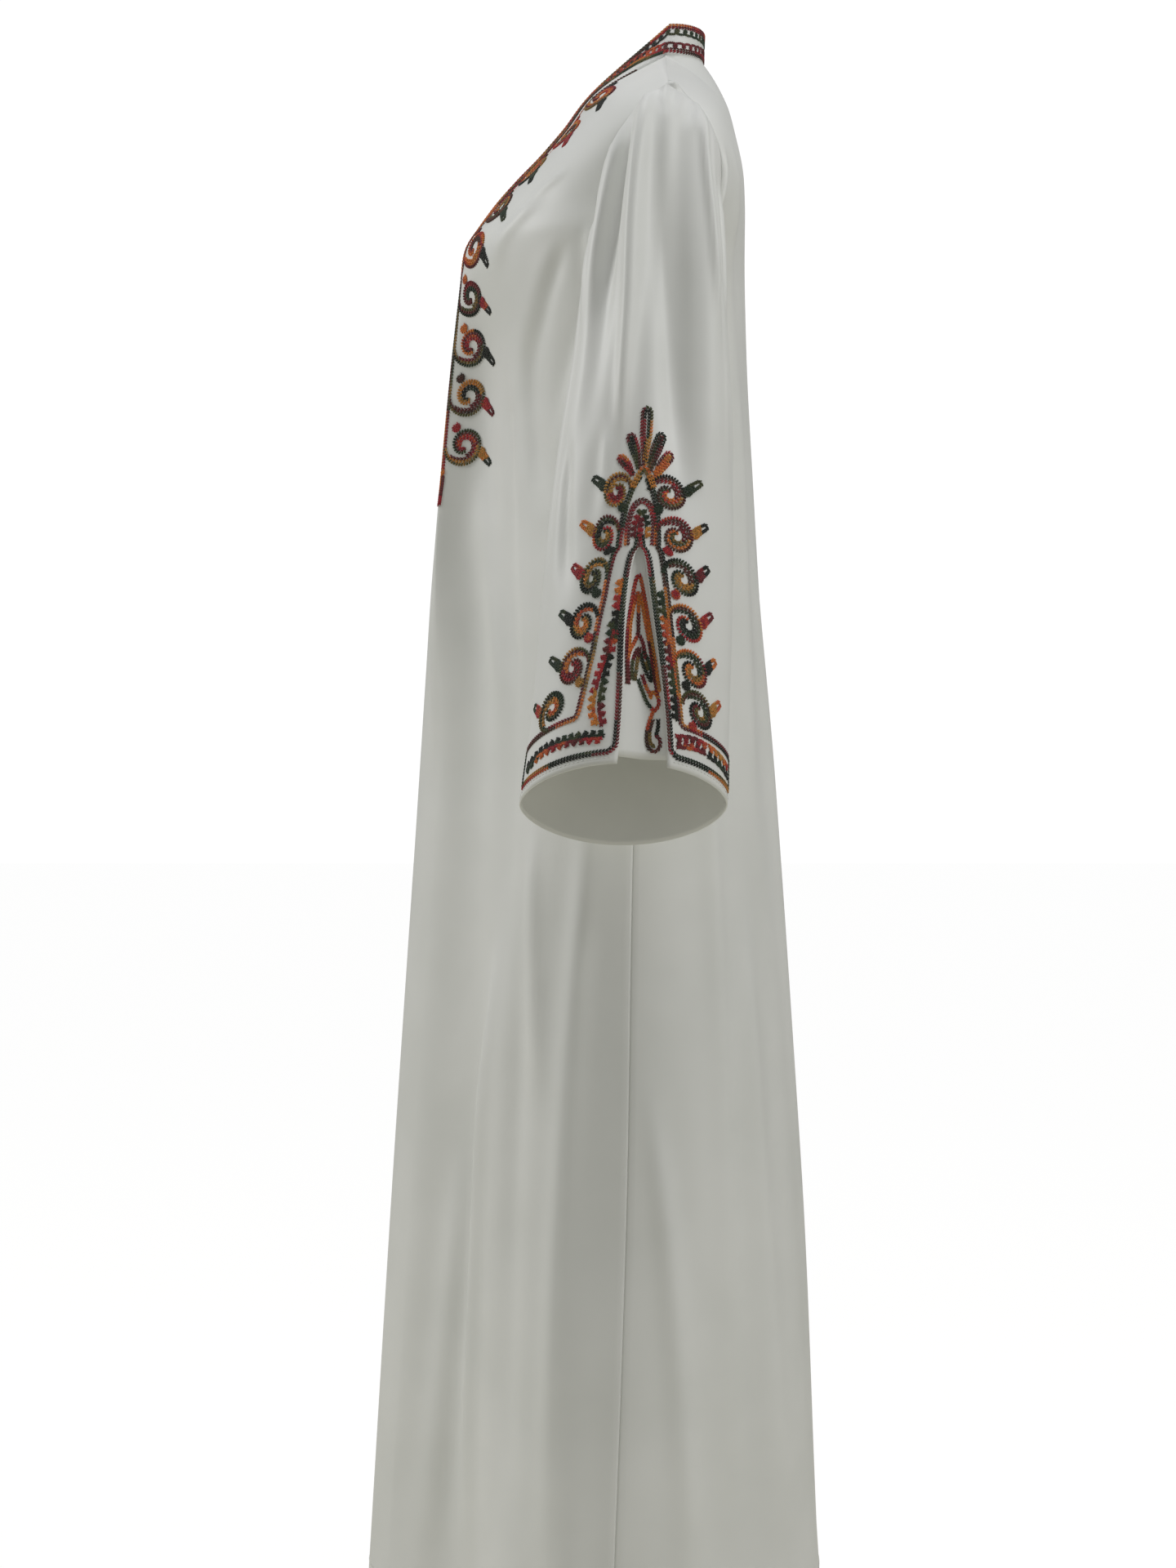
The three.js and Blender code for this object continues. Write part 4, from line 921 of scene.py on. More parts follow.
# Collects the stitches of one piece on its charts; each row has a tint that drifts as the yarn does.
class Needlework:
    def __init__(self):
        self.parts = []

    def lay(self, chart, places, ways, angles, sizes, lift, tints):
        here, toUp, toOut, normal = chart.frame(places[:, 0], places[:, 1])
        run = unit(toUp * ways[:, [0]] + toOut * ways[:, [1]])
        aside = np.cross(normal, run)
        c, s = np.cos(angles)[:, None], np.sin(angles)[:, None]
        long, wide = run * c + aside * s, aside * c - run * s
        shape = np.array([vert.co[:] for vert in grain.vertices])
        middle = here + normal * np.asarray(lift).reshape(-1, 1)
        axes = enumerate(zip((long, wide, normal), sizes))
        parts = [axis[:, None] * size * shape[None, :, [k]] for k, (axis, size) in axes]
        self.parts.append((middle[:, None] + sum(parts), tints))

    # The tint wanders about one colour, or about a run of colours named from end to end.
    def drift(self, s, tint, spread=0.06):
        names = tint.split()
        share = np.minimum(s / s[-1] * len(names), len(names) - 0.01).astype(int)
        base = np.array([yarnTints[name][0] for name in names])[share]
        marks = np.arange(0, s[-1] + dye["beyond"], dye["marks"])
        wander = np.interp(s + chance.uniform(0, dye["start"]), marks, chance.normal(0, spread, len(marks)))
        return np.clip(base + wander + chance.normal(0, dye["sway"], len(s)), dye["least"], dye["most"])

    def row(self, chart, path, tint, spread=0.06, scale=1.0, pitch=1.0, lift=0.0):
        places, ways, s = along(path, stitch["pitch"] * scale * pitch)
        tints = self.drift(s, tint, spread)
        side = np.stack([-ways[:, 1], ways[:, 0]], 1)
        sizes = (stitch["long"] * scale, stitch["wide"] * scale, stitch["high"] * scale)
        for hand in (1, -1):
            angle = np.radians(hand * stitch["slant"]) + chance.normal(0, stitch["sway"], len(s))
            moved = places + side * hand * stitch["apart"] * scale
            self.lay(chart, moved, ways, angle * chart.hand, sizes, stitch["lift"] + lift, tints)

    # Beads of yarn across the row's way, for a scalloped edge.
    def scallop(self, chart, path, tint, scale):
        places, ways, s = along(path, bead["pitch"] * scale)
        angle = np.radians(bead["slant"]) + chance.normal(0, bead["sway"], len(s))
        sizes = (bead["long"] * scale, bead["wide"] * scale, bead["high"] * scale)
        self.lay(chart, places, ways, angle * chart.hand, sizes, bead["lift"], self.drift(s, tint))

    def finish(self, name, slot, material, node=None):
        places = np.concatenate([part[0] for part in self.parts])
        tints = np.repeat(np.concatenate([part[1] for part in self.parts]), len(grain.vertices))
        bm = bmesh.new()
        for _ in range(len(places)):
            bm.from_mesh(grain)
        mesh = bpy.data.meshes.new(name)
        bm.to_mesh(mesh)
        bm.free()
        mesh.vertices.foreach_set("co", (places.reshape(-1) * mm).astype(np.float32))
        mesh.attributes.new("tint", "FLOAT", "POINT").data.foreach_set("value", tints.astype(np.float32))
        mesh.materials.append(material)
        mesh.update()
        piece = bpy.data.objects.new(name, mesh)
        bpy.context.scene.collection.objects.link(piece)
        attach(piece, "root")
        if node:
            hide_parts(node)
        print("abaya:", name, len(places), "stitches")
        return piece


def beside(path, offset):
    path = np.asarray(path, float)
    way = unit(np.gradient(path, axis=0))
    return path + np.stack([-way[:, 1], way[:, 0]], 1) * np.asarray(offset).reshape(-1, 1)


def fine(points, step=1.5):
    points = np.asarray(points, float)
    arc = arcOf(points)
    s = np.linspace(0, arc[-1], max(3, round(arc[-1] / step)))
    return np.stack([np.interp(s, arc, points[:, k]) for k in (0, 1)], 1)


def curved(points, count=60):
    knots = np.column_stack([np.asarray(points, float), np.zeros(len(points))])
    return spline(knots, np.linspace(0, 1, count))[:, :2]


knotShape = {"halfTurns": 4.4, "points": 60, "inset": 0.9, "shrinks": 0.9}
loopShape = {"tip": 0.34, "tipPoints": 14, "sidePoints": 12, "turnPoints": 22, "sway": 0.38}


# A round knot of yarn, wound from its rim to its middle.
def knot(work, chart, up, out, radius, tint):
    a = np.linspace(0, knotShape["halfTurns"] * np.pi, knotShape["points"])
    r = (radius - knotShape["inset"]) * (1 - np.linspace(0, knotShape["shrinks"], knotShape["points"]))
    path = np.stack([up + r * np.cos(a), out + r * np.sin(a)], 1)
    work.row(chart, path, tint, spread=0.03, scale=0.85, pitch=0.8, lift=0.25)


# An open loop, long from its foot towards the angle.
def loop(work, chart, up, out, angle, long, wide, tint, scale=0.9):
    tip, count = loopShape["tip"] * wide, loopShape["sidePoints"]
    turn = np.linspace(-np.pi / 2, np.pi / 2, loopShape["tipPoints"])
    side = np.stack([np.linspace(0, long - tip, count), np.linspace(-wide / 2, -tip, count)], 1)
    head = np.stack([long - tip + tip * np.cos(turn), tip * np.sin(turn)], 1)
    path = np.vstack([side, head, side[::-1] * (1, -1)])
    c, s = math.cos(angle), math.sin(angle)
    x, y = path.T
    places = np.stack([up + x * s + y * c, out + x * c - y * s], 1)
    work.row(chart, places, tint, spread=0.04, scale=scale, pitch=0.8)


# Cursive loops along a path: the yarn runs on, steps aside and crosses back over itself.
def loopRow(work, chart, path, pitch, reach, tint, hand=1, scale=0.86, tight=0.6):
    path = fine(path, 1.0)
    arc = arcOf(path)
    count = max(1, round(arc[-1] / pitch))
    turn = np.linspace(0, count, count * loopShape["turnPoints"])
    sway = loopShape["sway"] * pitch * np.sin(2 * np.pi * turn)
    s = np.clip(arc[-1] * turn / count + sway, 0, arc[-1])
    aside = reach * np.cos(2 * np.pi * turn) * hand
    way = unit(np.gradient(path, axis=0))
    at = lambda values: np.interp(s, arc, values)
    up = at(path[:, 0]) - at(way[:, 1]) * aside
    out = at(path[:, 1]) + at(way[:, 0]) * aside
    work.row(chart, np.stack([up, out], 1), tint, spread=0.05, scale=scale, pitch=tight)


# A scroll of four rows with a beaded rim, its knot beside the border, and a drop on its outer side. The
# rim's reach shrinks as the scroll goes round and curls into its own middle.
scroll = {
    "start": 0.99,
    "end": -1.86,
    "rim": 1.4,
    "apart": 2.85,
    "yarn": 1.2,
    "points": 90,
    "beaded": 84,
    "thinStart": 0.35,
    "thinUntil": 0.16,
    "thinEnd": 0.82,
    "least": 0.3,
}
scrollKnot = {"down": 0.98, "inwards": 0.52, "radius": 5.3}
scrollDrop = {"up": 0.36, "out": 0.92, "clear": 1.8, "radius": 5.9, "turn": 42, "long": 15, "wide": 6}
scrollReach = table(
    "share reach",
    [(0, 1.1), (0.16, 1), (0.36, 0.99), (0.5, 0.92), (0.6, 0.78), (0.69, 0.6), (0.84, 0.4), (1, 0.24)],
)
scrollRuns = [(0.0, 1.0), (0.0, 0.99), (0.06, 0.97), (0.2, 0.68)]


def scrollWork(work, chart, up, out, radius, upward, colours, narrow=1.0):
    rim, middle, inner, ball, drop, tail = colours
    # One without a knot stands on the border under it and curls the other way.
    curl, quarter = (upward, 0) if ball else (-upward, 0.5)
    for k, ((begin, end), tint) in enumerate(zip(scrollRuns, (rim, middle, inner, inner))):
        s = np.linspace(begin, end, scroll["points"])
        angle = np.pi * (mix(scroll["start"], scroll["end"], s) - quarter)
        taper = mix(scroll["thinStart"], 1, smooth(s / scroll["thinUntil"])) * mix(1, scroll["thinEnd"], s)
        inset = (scroll["rim"] + k * scroll["apart"]) * taper
        r = np.maximum(radius * read(scrollReach, "reach", s) - inset, scroll["least"])
        path = np.stack([up + curl * r * np.sin(angle), out + narrow * r * np.cos(angle)], 1)
        if k == 0:
            work.scallop(chart, path[: scroll["beaded"]], tint, scroll["yarn"])
        else:
            work.row(chart, path, tint, scale=scroll["yarn"])
    if ball:
        knotUp = up - upward * radius * scrollKnot["down"]
        knotOut = out - radius * scrollKnot["inwards"] * narrow
        knot(work, chart, knotUp, knotOut, scrollKnot["radius"], ball)
    if drop:
        footUp = up + upward * radius * scrollDrop["up"]
        footOut = out + (radius * scrollDrop["out"] + scrollDrop["clear"]) * narrow
        knot(work, chart, footUp, footOut, scrollDrop["radius"], drop)
        turn, tint = math.radians(scrollDrop["turn"]) * upward, f"{drop} {tail} {tail} {tail} {drop}"
        long, wide = scrollDrop["long"], scrollDrop["wide"]
        loop(work, chart, footUp + upward * 2, footOut + 2.2, turn, long, wide, tint, 1.1)
        spine = [(footUp + upward * 2.5, footOut + 2.8), (footUp + upward * 6.5, footOut + 7.2)]
        work.row(chart, spine, drop, spread=0.03, scale=1.1, pitch=0.8)


rowOffset = 1.35  # of a border's two rows from its middle line
frontScrolls = {"first": -172, "pitch": 49, "radius": 19.3, "out": 21.2, "low": -194, "high": 268}
frontSpread = {"most": 1.25, "from": -20, "over": 90}  # wider where the neckline leans back
frontDrop = {"knotDown": 3, "knot": 3.6, "down": 6, "long": 26, "loops": (1.2, 3.4), "wider": 1.6}
# From the lowest scroll up: rim, middle, inner rows, the knot, the drop and its loop.
frontScrollColours = [
    ("olive green", "ochre maroon", "maroon red", "red", "ochre", "black"),
    ("olive ochre", "brown ochre", "maroon black", "brown", "red", "maroon"),
    ("green black orange", "olive maroon", "maroon red", "orange", "black", "black"),
    ("black maroon", "brown maroon", "olive green", "orange", "red", "black"),
    ("maroon orange", "orange red", "orange brown", "maroon", "black", "black"),
    ("brown maroon", "maroon ochre", "olive", "green", "green", "green"),
    ("green ochre", "maroon olive", "ochre orange", "black", "green", "black"),
    ("red orange", "orange ochre", "olive brown", "red", "red", "red"),
    ("olive maroon", "maroon orange", "ochre orange", "black", "black", "black"),
]


def frontEmbroidery(side, word):
    half = frontHalves[side]
    start = placketRow - 6
    grid = onSide(half, side)[start:]
    chart = Chart(grid, bandCount, armpitRow - start, side)
    work = Needlework()
    low, high = frontScrolls["low"], frontScrolls["high"]
    border = fine([(low, 0), (high, 0)], 4)
    work.row(chart, beside(border, rowOffset), "maroon green olive brown green ochre maroon green", 0.08)
    work.row(chart, beside(border, -rowOffset), "orange maroon green black maroon ochre orange brown", 0.08)
    knot(work, chart, low - frontDrop["knotDown"], 0, frontDrop["knot"], "orange")
    for wide in frontDrop["loops"]:
        foot, long = low - frontDrop["down"], frontDrop["long"] + wide
        loop(work, chart, foot, 0, -math.pi / 2, long, wide + frontDrop["wider"], "orange red maroon")
    for k, colours in enumerate(frontScrollColours):
        up = frontScrolls["first"] + frontScrolls["pitch"] * k
        narrow = mix(1, frontSpread["most"], smooth((up - frontSpread["from"]) / frontSpread["over"]))
        scrollWork(work, chart, up, frontScrolls["out"] * narrow**0.5, frontScrolls["radius"], -1, colours, narrow)
    return work.finish("frontScrolls" + word, "front_cord", frontYarn, "front_scrolls_" + word.lower())


# Each cord's distance from the neck's edge, or from the line beside the band's seam, and its colours.
edgeCords = (
    (2.6, "maroon red maroon orange ochre olive orange red"),
    (5.2, "ochre orange red orange ochre brown red maroon"),
)
seamCords = ((2.6, "orange red brown olive maroon"), (5.2, "green black olive red maroon"))
bandLoops = {
    "starts": 2,
    "points": 150,
    "edge": 10.4,
    "seam": 10,
    "pitch": 9.2,
    "edgeReach": 2.7,
    "seamReach": 2.5,
    "scale": 0.86,
    "tight": 0.7,
}
# That line is clear of the scrolls' border in front and close to the seam behind.
seamLine = {"front": 8.5, "behind": 0.3, "before": 45, "over": 70}


def neckEmbroidery():
    style = bandLoops["scale"], bandLoops["tight"]
    cords, loops = Needlework(), Needlework()
    for side in (1, -1):
        leg = onSide(bandLegs[side], side)
        start = armpitRow - placketRow
        chart = Chart(leg[start:], 0, 0, side)
        long = chart.heights[-1]
        shoulder = chart.heights[len(leg) - start - len(napeShares) - 1]
        up = np.linspace(bandLoops["starts"], long, bandLoops["points"])
        width = np.interp(up, chart.heights, chart.across[:, -1])
        behind = smooth((up - shoulder + seamLine["before"]) / seamLine["over"])
        raised = mix(seamLine["front"], seamLine["behind"], behind)
        for inset, tint in edgeCords:
            cords.row(chart, np.stack([up, np.full_like(up, inset)], 1), tint, spread=0.1, scale=1.1)
        path = np.stack([up[1:], np.full_like(up[1:], bandLoops["edge"])], 1)
        tint = "orange ochre green black green"
        loopRow(loops, chart, path, bandLoops["pitch"], bandLoops["edgeReach"], tint, 1, *style)
        for inset, tint in seamCords:
            loops.row(chart, np.stack([up, width - raised - inset], 1)[2:], tint, spread=0.1, scale=1.1)
        path = np.stack([up, width - raised - bandLoops["seam"]], 1)[2:]
        tint = "orange green red red maroon"
        loopRow(loops, chart, path, bandLoops["pitch"], bandLoops["seamReach"], tint, -1, *style)
    neckCord = cords.finish("neckCord", "neck_cord", neckYarn, "neck_braid")
    return neckCord, loops.finish("neckLoops", "neck_cord", neckYarn)


# The sleeve's borders before (1) and behind (-1) the slit, up from the cuff's hem and out from the slit.
arches = {
    1: [(46, 114), (47, 43), (50, 41), (103, 29), (154, 21), (208, 18.5), (236, 15), (254, 9.5), (265, 3)],
    -1: [(40, 88), (40, 17), (43, 15), (103, 15), (156, 16), (208, 16), (236, 13.5), (254, 8.5), (265, 3)],
}
sleeveScrollRadius = 17.2
# The scrolls from the cuff up: up and out of each middle, its width's share, and its colours.
sleeveScrolls = {
    1: [
        (64, 72, 1.0, ("olive green", "black green", "ochre orange", None, "red", "green")),
        (96, 48, 0.9, ("olive brown", "maroon red", "orange maroon", "ochre", "green", "green")),
        (135, 40, 0.8, ("black", "black olive", "orange ochre", "red", "black", "green")),
        (175, 35, 0.74, ("olive green", "green black", "ochre olive", "green", "red", "red")),
        (214, 32, 0.7, ("maroon red", "olive green", "black olive", "black", "ochre", "orange")),
        (253, 23, 0.7, ("ochre olive", "brown red", "ochre maroon", "green", "green", "green")),
    ],
    -1: [
        (60, 36, 1.0, ("olive black", "brown maroon", "green olive", "red", "ochre", "orange")),
        (95, 32.5, 1.0, ("orange maroon black", "olive orange", "green ochre", "black", "black", "orange")),
        (135, 32, 1.0, ("orange red", "brown green", "green black", "green", "red", "maroon")),
        (176, 32.5, 1.0, ("green black green", "green olive", "brown ochre", "red", "maroon", "black")),
        (215, 32, 1.0, ("maroon brown", "brown orange", "maroon olive", "red", "ochre", "black")),
        (253, 23, 1.0, ("black brown", "brown olive", "maroon orange", "green", "green", "green")),
    ],
}
# The two rows of each border, from the cuff up.
borderTints = {
    1: ("maroon maroon brown orange green green", "brown orange ochre maroon maroon green"),
    -1: ("maroon orange ochre brown black green", "black maroon orange orange brown green"),
}
# The palmette's leaves at the arch's top, its middle leaf under 0: foot, tip, half width, and the tints
# from the rim inwards.
palmette = {
    0: [
        (
            (274, 0),
            (331, 0),
            5.4,
            ("maroon red maroon brown ochre orange ochre orange", "black maroon black green ochre"),
        ),
    ],
    1: [
        ((271, 5), (306, 15), 4.6, ("olive green maroon red maroon", "green black olive")),
        ((265, 10), (286, 24), 4.2, ("red maroon red maroon", "green red")),
    ],
    -1: [
        ((271, 5), (310, 16), 5.2, ("brown maroon black black brown green", "maroon brown green", "black")),
        ((264, 10), (293, 26), 5.2, ("ochre orange maroon red maroon orange", "orange ochre orange", "orange")),
    ],
}
sleeveTurn = 22  # columns that a chart reaches past the slit


def sleeveChart(side, hand):
    grid = sleeves[side][1][::-1]
    if hand < 0:
        grid = grid[:, ::-1]
    grid = np.concatenate([grid[:, -sleeveTurn - 1 : -1], grid[:, : grid.shape[1] // 2]], axis=1)
    return Chart(onSide(grid, side), sleeveTurn, 0, -side * hand)


leafShape = {"inset": 1.2, "apart": 2.35, "starts": 0.08, "points": 60, "narrow": 0.45, "swells": 0.6}


# A leaf of the palmette: outlines one inside the other, that swell to a round tip.
def leafWork(work, chart, foot, tip, wide, tints):
    foot, tip = np.array(foot, float), np.array(tip, float)
    long = np.linalg.norm(tip - foot)
    for k, tint in enumerate(tints):
        inset = leafShape["inset"] + leafShape["apart"] * k
        s = np.linspace(leafShape["starts"] * k, 1 - inset / long, leafShape["points"])
        spine = foot + (tip - foot) * np.stack([s, 0.4 * s + 0.6 * s**1.7], 1)
        head = wide / long
        tipped = np.sqrt(np.clip(1 - ((s - s[-1] + head) / head).clip(0) ** 2, 0, 1))
        swell = (wide * mix(leafShape["narrow"], 1, smooth(s / leafShape["swells"])) - inset) * tipped
        work.row(chart, np.vstack([beside(spine, swell), beside(spine, -swell)[::-1]]), tint)


def sleeveEmbroidery(side, hand, word):
    chart = sleeveChart(side, hand)
    work = Needlework()
    border = fine(arches[hand], 3)
    for offset, tint in zip((rowOffset, -rowOffset), borderTints[hand]):
        work.row(chart, beside(border, offset), tint)
    for up, out, narrow, colours in sleeveScrolls[hand]:
        scrollWork(work, chart, up, out, sleeveScrollRadius, 1, colours, narrow)
    for leaf in palmette[hand]:
        leafWork(work, chart, *leaf)
    if hand > 0:
        leafWork(work, chart, *palmette[0][0])
        apex = curved([(254, -10.5), (264, -6.5), (273, 0), (264, 6.5), (254, 10.5)], 40)
        work.row(chart, apex, "ochre orange ochre", spread=0.03, scale=1.1, lift=0.5)
        work.row(chart, beside(apex, 2.4), "ochre olive ochre", spread=0.03, scale=1.1, lift=0.5)
        # The round arch above the slit, with loops inside it.
        for reach, top, tint in ((13, 243, "orange maroon brown maroon red"), (10.4, 240, "maroon red maroon")):
            rise = [(200, -reach), (222, -reach * 0.96), (top - 4, -reach * 0.55)]
            fall = [(top - 4, reach * 0.55), (222, reach * 0.96), (200, reach)]
            work.row(chart, curved([*rise, (top, 0), *fall]), tint)
        inside = curved([(207, -6.6), (222, -5.6), (233, 0), (222, 5.6), (207, 6.6)])
        loopRow(work, chart, inside, 5.6, 1.7, "ochre green olive red maroon")
        loopRow(work, chart, [(207, 0.5), (226, 0)], 5.4, 1.8, "red maroon")
    name = "sleeveScrolls" + ("Fore" if hand > 0 else "Aft") + word
    node = "sleeve_scrolls_" + ("fore_" if hand > 0 else "aft_") + word.lower()
    return work.finish(name, "sleeve_cord", sleeveYarn, node)


cuffCord = {
    "edge": [(212, 0.6), (203, 2.4), (188, 3.8), (16, 3.4), (11, 9)],
    "height": 11,
    "rows": (
        (1.3, "maroon green black brown maroon black orange"),
        (-1.3, "black green black maroon black green olive"),
    ),
}
# The loops that fill the cuff's band and run up beside the slit: path, reach, colours and hand.
cuffLoops = {
    1: [
        ([(28, 14), (31, 55), (31, 80), (26, 106)], 1.9, "black green black black", 1),
        ([(22, 16), (25.5, 55), (25.5, 80), (20.5, 105)], 1.7, "red maroon red orange green", -1),
        ([(36, 23), (52, 28), (80, 24), (100, 17), (130, 12)], 1.9, "orange ochre red red maroon green", -1),
        ([(35, 15.5), (55, 19), (80, 16), (104, 11), (122, 8.5)], 1.8, "maroon green black red", 1),
        ([(112, 10), (140, 9.5), (168, 8.5)], 1.8, "green black red orange", -1),
    ],
    -1: [
        ([(28, 9), (31, 26), (31, 44)], 1.9, "red maroon red", -1),
        ([(22, 9), (25, 28), (25.5, 42)], 1.7, "maroon red maroon", 1),
        ([(31, 46), (30, 62), (28, 83)], 1.9, "orange ochre orange", -1),
        ([(24.5, 44), (24, 60), (21, 83)], 1.9, "black green black", 1),
        ([(44, 9.5), (80, 10), (120, 9.5), (160, 9.5)], 1.8, "black green maroon orange green", 1),
    ],
}
cuffLoop = {"pitch": 7.2, "wider": 1.15, "scale": 1.12}


def cuffEmbroidery(side, hand, word):
    chart = sleeveChart(side, hand)
    cords, loops = Needlework(), Needlework()
    top, reach = arches[hand][0]
    edge = fine([*cuffCord["edge"], (cuffCord["height"], reach)], 2.5)
    for offset, tint in cuffCord["rows"]:
        cords.row(chart, beside(edge, offset), tint)
    # The line that closes the panel at its far end, and the loops that fill it.
    loops.row(chart, fine([(12, reach), (top, reach + 1)]), "black green")
    for path, aside, tint, turned in cuffLoops[hand]:
        aside *= cuffLoop["wider"]
        loopRow(loops, chart, curved(path), cuffLoop["pitch"], aside, tint, turned, cuffLoop["scale"])
    extra = "Fore" if hand > 0 else "Aft"
    node = "cuff_braid_" + extra.lower() + "_" + word.lower()
    cord = cords.finish("cuffCord" + extra + word, "neck_cord", neckYarn, node)
    return cord, loops.finish("cuffLoops" + extra + word, "neck_cord", neckYarn)


# The arches, heart and hook on the piece behind the slit; out is from its middle line.
def godetEmbroidery(side, word):
    grid = godets[side][1][::-1, ::-1]
    chart = Chart(onSide(grid, side), grid.shape[1] // 2, 0, side)
    work = Needlework()
    rows = [
        ([(66, -15), (105, -13), (140, -7), (166, 0), (142, 6), (105, 11), (60, 15)], "maroon red orange orange"),
        ([(96, -11), (124, -8), (150, 0), (118, 6.5), (88, 10), (56, 13)], "orange orange maroon"),
        ([(148, 0), (130, -0.5), (112, -1.5)], "orange maroon"),
        ([(66, -13.5), (92, -12), (106, -5), (112, -1.5), (106, 2), (90, 4)], "maroon red maroon"),
        ([(70, -10), (86, -8.5), (97, -4), (100, -1), (86, -4), (70, -7)], "olive maroon olive"),
        ([(96, 0), (88, 1), (78, 4), (70, 8), (78, 8.5), (90, 6), (98, 2)], "green black green"),
        ([(88, 3.5), (80, 5.5)], "olive"),
        ([(104, 9), (86, 11.5), (68, 11)], "black brown"),
        ([(72, -4), (60, 0), (50, 4), (44, 10), (50, 14), (58, 12), (60, 7), (54, 7)], "green green red orange"),
        ([(76, 0), (64, 3.5), (56, 8)], "maroon red"),
        ([(44, 9), (34, 5), (22, 2.5), (11, 4), (7, 9.5), (11, 14), (18, 14), (22, 10)], "orange brown maroon"),
        ([(36, 8), (24, 5), (14, 6.5), (11, 10)], "brown olive"),
        ([(36, 13), (28, 12.5), (21, 10.5)], "black green"),
    ]
    for points, tint in rows:
        work.row(chart, curved(points), tint, spread=0.05, scale=1.2, pitch=0.85)
    return work.finish("godetArches" + word, "sleeve_cord", sleeveYarn)


# Lines of single stitches that hold the turned hems, at their heights above the edge.
hems = {"foot": 24, "cuff": 6, "clear": 5, "pitch": 4.2, "sizes": (1.45, 0.42, 0.36), "lift": 0.2, "tint": 0.5}


def hemStitches(name, chart, height):
    work = Needlework()
    low, high = chart.across[1, 0] + hems["clear"], chart.across[1, -1] - hems["clear"]
    places, ways, s = along([(height, low), (height, high)], hems["pitch"])
    work.lay(chart, places, ways, np.zeros(len(s)), hems["sizes"], hems["lift"], np.full(len(s), hems["tint"]))
    return work.finish(name, "white_cloth", crepe)


def middleChart(grid, hand):
    return Chart(grid, grid.shape[1] // 2, 0, hand)


embroidery = {name: [] for name in ("front", "back", "band", "left", "right", "godetLeft", "godetRight")}
embroidery["band"].extend(neckEmbroidery())
for side, word in sides:
    embroidery["front"].append(frontEmbroidery(side, word))
    for hand in (1, -1):
        embroidery[word.lower()].append(sleeveEmbroidery(side, hand, word))
        embroidery[word.lower()].extend(cuffEmbroidery(side, hand, word))
    embroidery["godet" + word].append(godetEmbroidery(side, word))
    cuffChart = Chart(onSide(sleeves[side][1][::-1], side), 0, 0, -side)
    embroidery[word.lower()].append(hemStitches("cuffStitches" + word, cuffChart, hems["cuff"]))
embroidery["front"].append(hemStitches("frontHemStitches", middleChart(frontGrid, 1), hems["foot"]))
embroidery["back"].append(hemStitches("backHemStitches", middleChart(backGrid, -1), hems["foot"]))

print("abaya: embroidery made")


studioLook = {"floor": -1600, "wide": 60, "dark": (0.84, 0.81, 0.68, 1), "light": (0.9, 0.87, 0.74, 1), "fade": 0.94}
# Each light's power in watts, its width, its place and the spot that it is turned to, in metres.
lamps = (
    ("keyLight", 56, 1.0, (-0.4, -3.4, 1.4), (0.1, -0.05, -0.55)),
    ("topLight", 24, 1.2, (0.55, 0.15, 2.7), (0.2, 0, -0.2)),
    ("rimLight", 44, 0.9, (1.5, 2.8, 1.7), (0.1, 0.05, -0.5)),
)


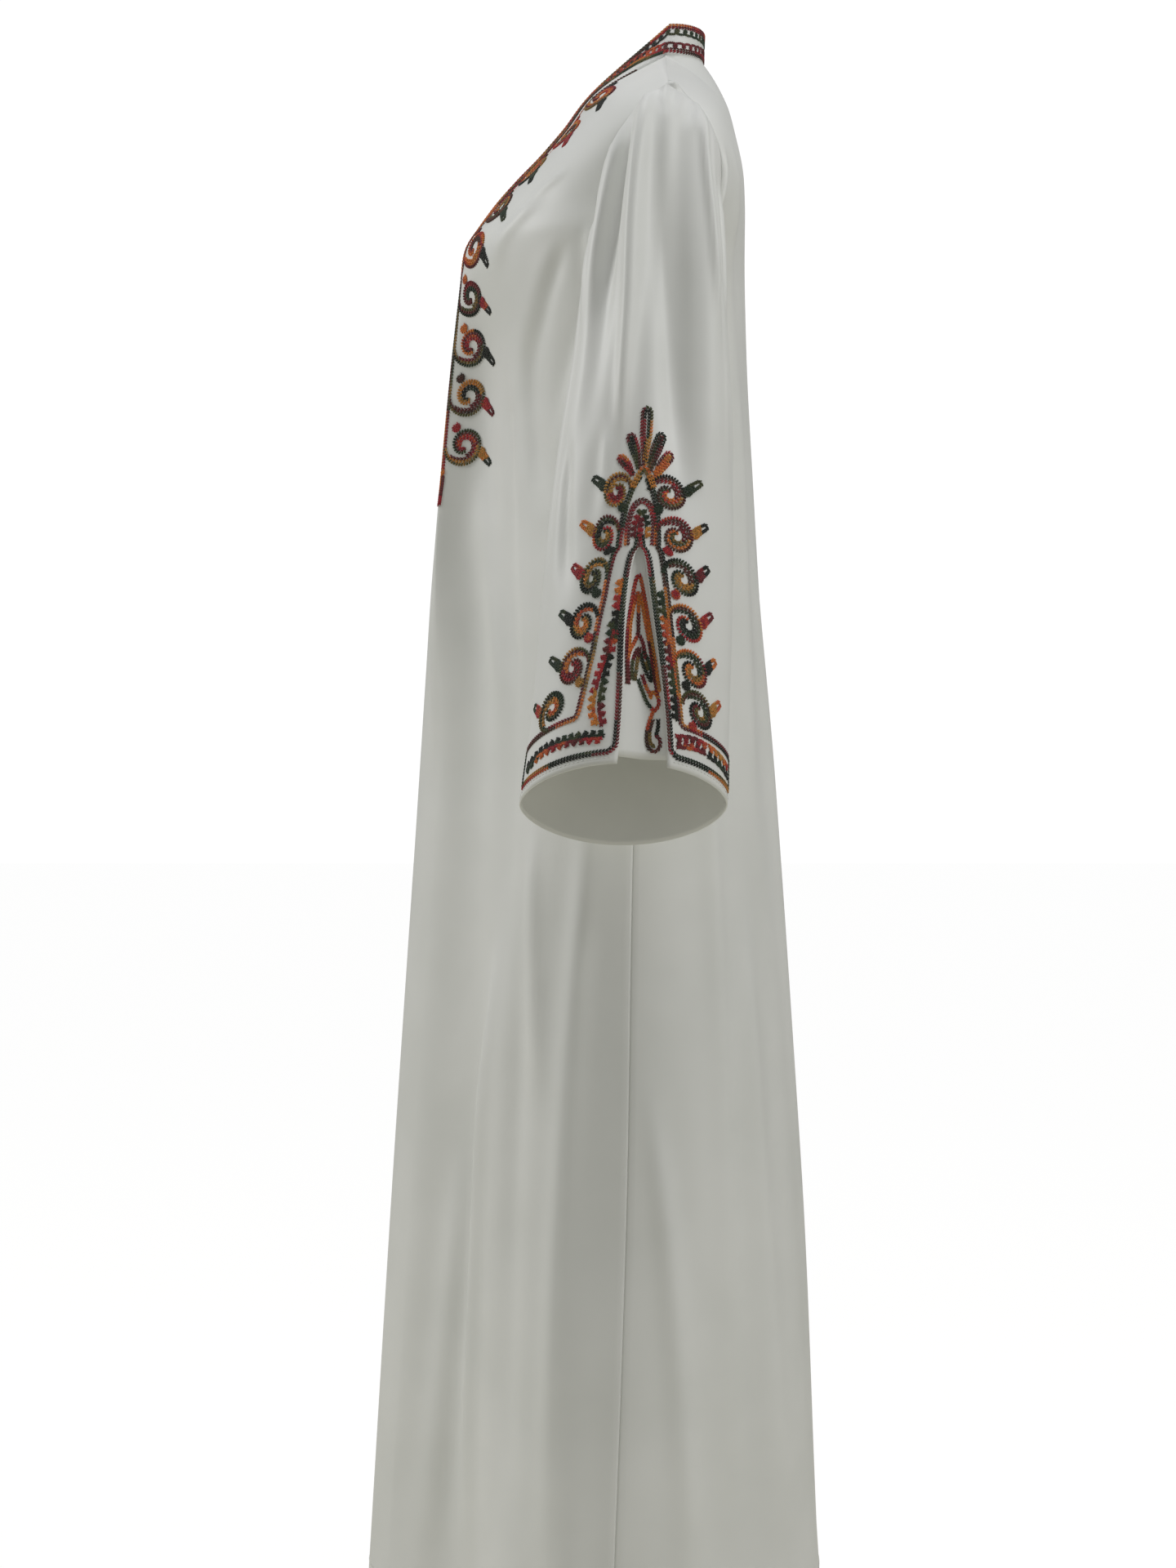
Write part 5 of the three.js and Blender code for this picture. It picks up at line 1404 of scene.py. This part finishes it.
def studio():
    bm = bmesh.new()
    bmesh.ops.create_grid(bm, x_segments=1, y_segments=1, size=studioLook["wide"] / 2)
    bmesh.ops.translate(bm, verts=bm.verts[:], vec=(0, 0, studioLook["floor"] * mm))
    material = bpy.data.materials.new("paleFloor")
    material.use_nodes = True
    nodes, links = material.node_tree.nodes, material.node_tree.links
    cloudy = addNode(nodes, "ShaderNodeTexNoise", Scale=2)
    tone = nodes.new("ShaderNodeValToRGB")
    tone.color_ramp.elements[0].color = studioLook["dark"]
    tone.color_ramp.elements[1].color = studioLook["light"]
    place = nodes.new("ShaderNodeTexCoord")
    links.new(place.outputs["Object"], cloudy.inputs["Vector"])
    links.new(cloudy.outputs["Fac"], tone.inputs["Fac"])
    links.new(tone.outputs["Color"], nodes["Principled BSDF"].inputs["Base Color"])
    nodes["Principled BSDF"].inputs["Roughness"].default_value = 0.9
    sight = nodes.new("ShaderNodeLightPath")
    glow = addNode(nodes, "ShaderNodeEmission", Strength=1.04)
    shade = nodes.new("ShaderNodeMath")
    shade.operation = "MULTIPLY"
    shade.inputs[1].default_value = studioLook["fade"]
    either = nodes.new("ShaderNodeMixShader")
    links.new(sight.outputs["Is Camera Ray"], shade.inputs[0])
    links.new(shade.outputs["Value"], either.inputs["Fac"])
    links.new(nodes["Principled BSDF"].outputs["BSDF"], either.inputs[1])
    links.new(glow.outputs["Emission"], either.inputs[2])
    links.new(either.outputs["Shader"], nodes["Material Output"].inputs["Surface"])
    floor = showPiece("floor", bm, [material])
    for name, energy, size, place, aim in lamps:
        light = bpy.data.lights.new(name, "AREA")
        light.energy = energy
        light.size = size
        lamp = bpy.data.objects.new(name, light)
        lamp.location = place
        lamp.rotation_euler = (Vector(aim) - Vector(place)).to_track_quat("-Z", "Y").to_euler()
        bpy.context.scene.collection.objects.link(lamp)
    world = bpy.data.worlds.new("studio")
    world.use_nodes = True
    nodes, links = world.node_tree.nodes, world.node_tree.links
    sight = nodes.new("ShaderNodeLightPath")
    seen = addNode(nodes, "ShaderNodeBackground", Color=(1, 1, 1, 1), Strength=1.05)
    soft = nodes["Background"]
    soft.inputs["Color"].default_value = (0.96, 0.985, 1, 1)
    soft.inputs["Strength"].default_value = 0.2
    either = nodes.new("ShaderNodeMixShader")
    links.new(sight.outputs["Is Camera Ray"], either.inputs["Fac"])
    links.new(soft.outputs["Background"], either.inputs[1])
    links.new(seen.outputs["Background"], either.inputs[2])
    links.new(either.outputs["Shader"], nodes["World Output"].inputs["Surface"])
    bpy.context.scene.world = world
    bpy.context.scene.view_settings.view_transform = "Standard"


def viewCamera():
    view = {"at": (3.0, -0.0656, -0.726), "turn": (90, 0, 90), "lens": 68.62, "sensor": 36}
    camera = bpy.data.cameras.new("camera")
    camera.lens = view["lens"]
    camera.sensor_width = view["sensor"]
    camera.sensor_fit = "AUTO"
    camera.clip_end = 100
    holder = bpy.data.objects.new("camera", camera)
    holder.location = view["at"]
    holder.rotation_euler = [math.radians(turn) for turn in view["turn"]]
    bpy.context.scene.collection.objects.link(holder)
    bpy.context.scene.camera = holder


studio()
viewCamera()
print("abaya: stage set")
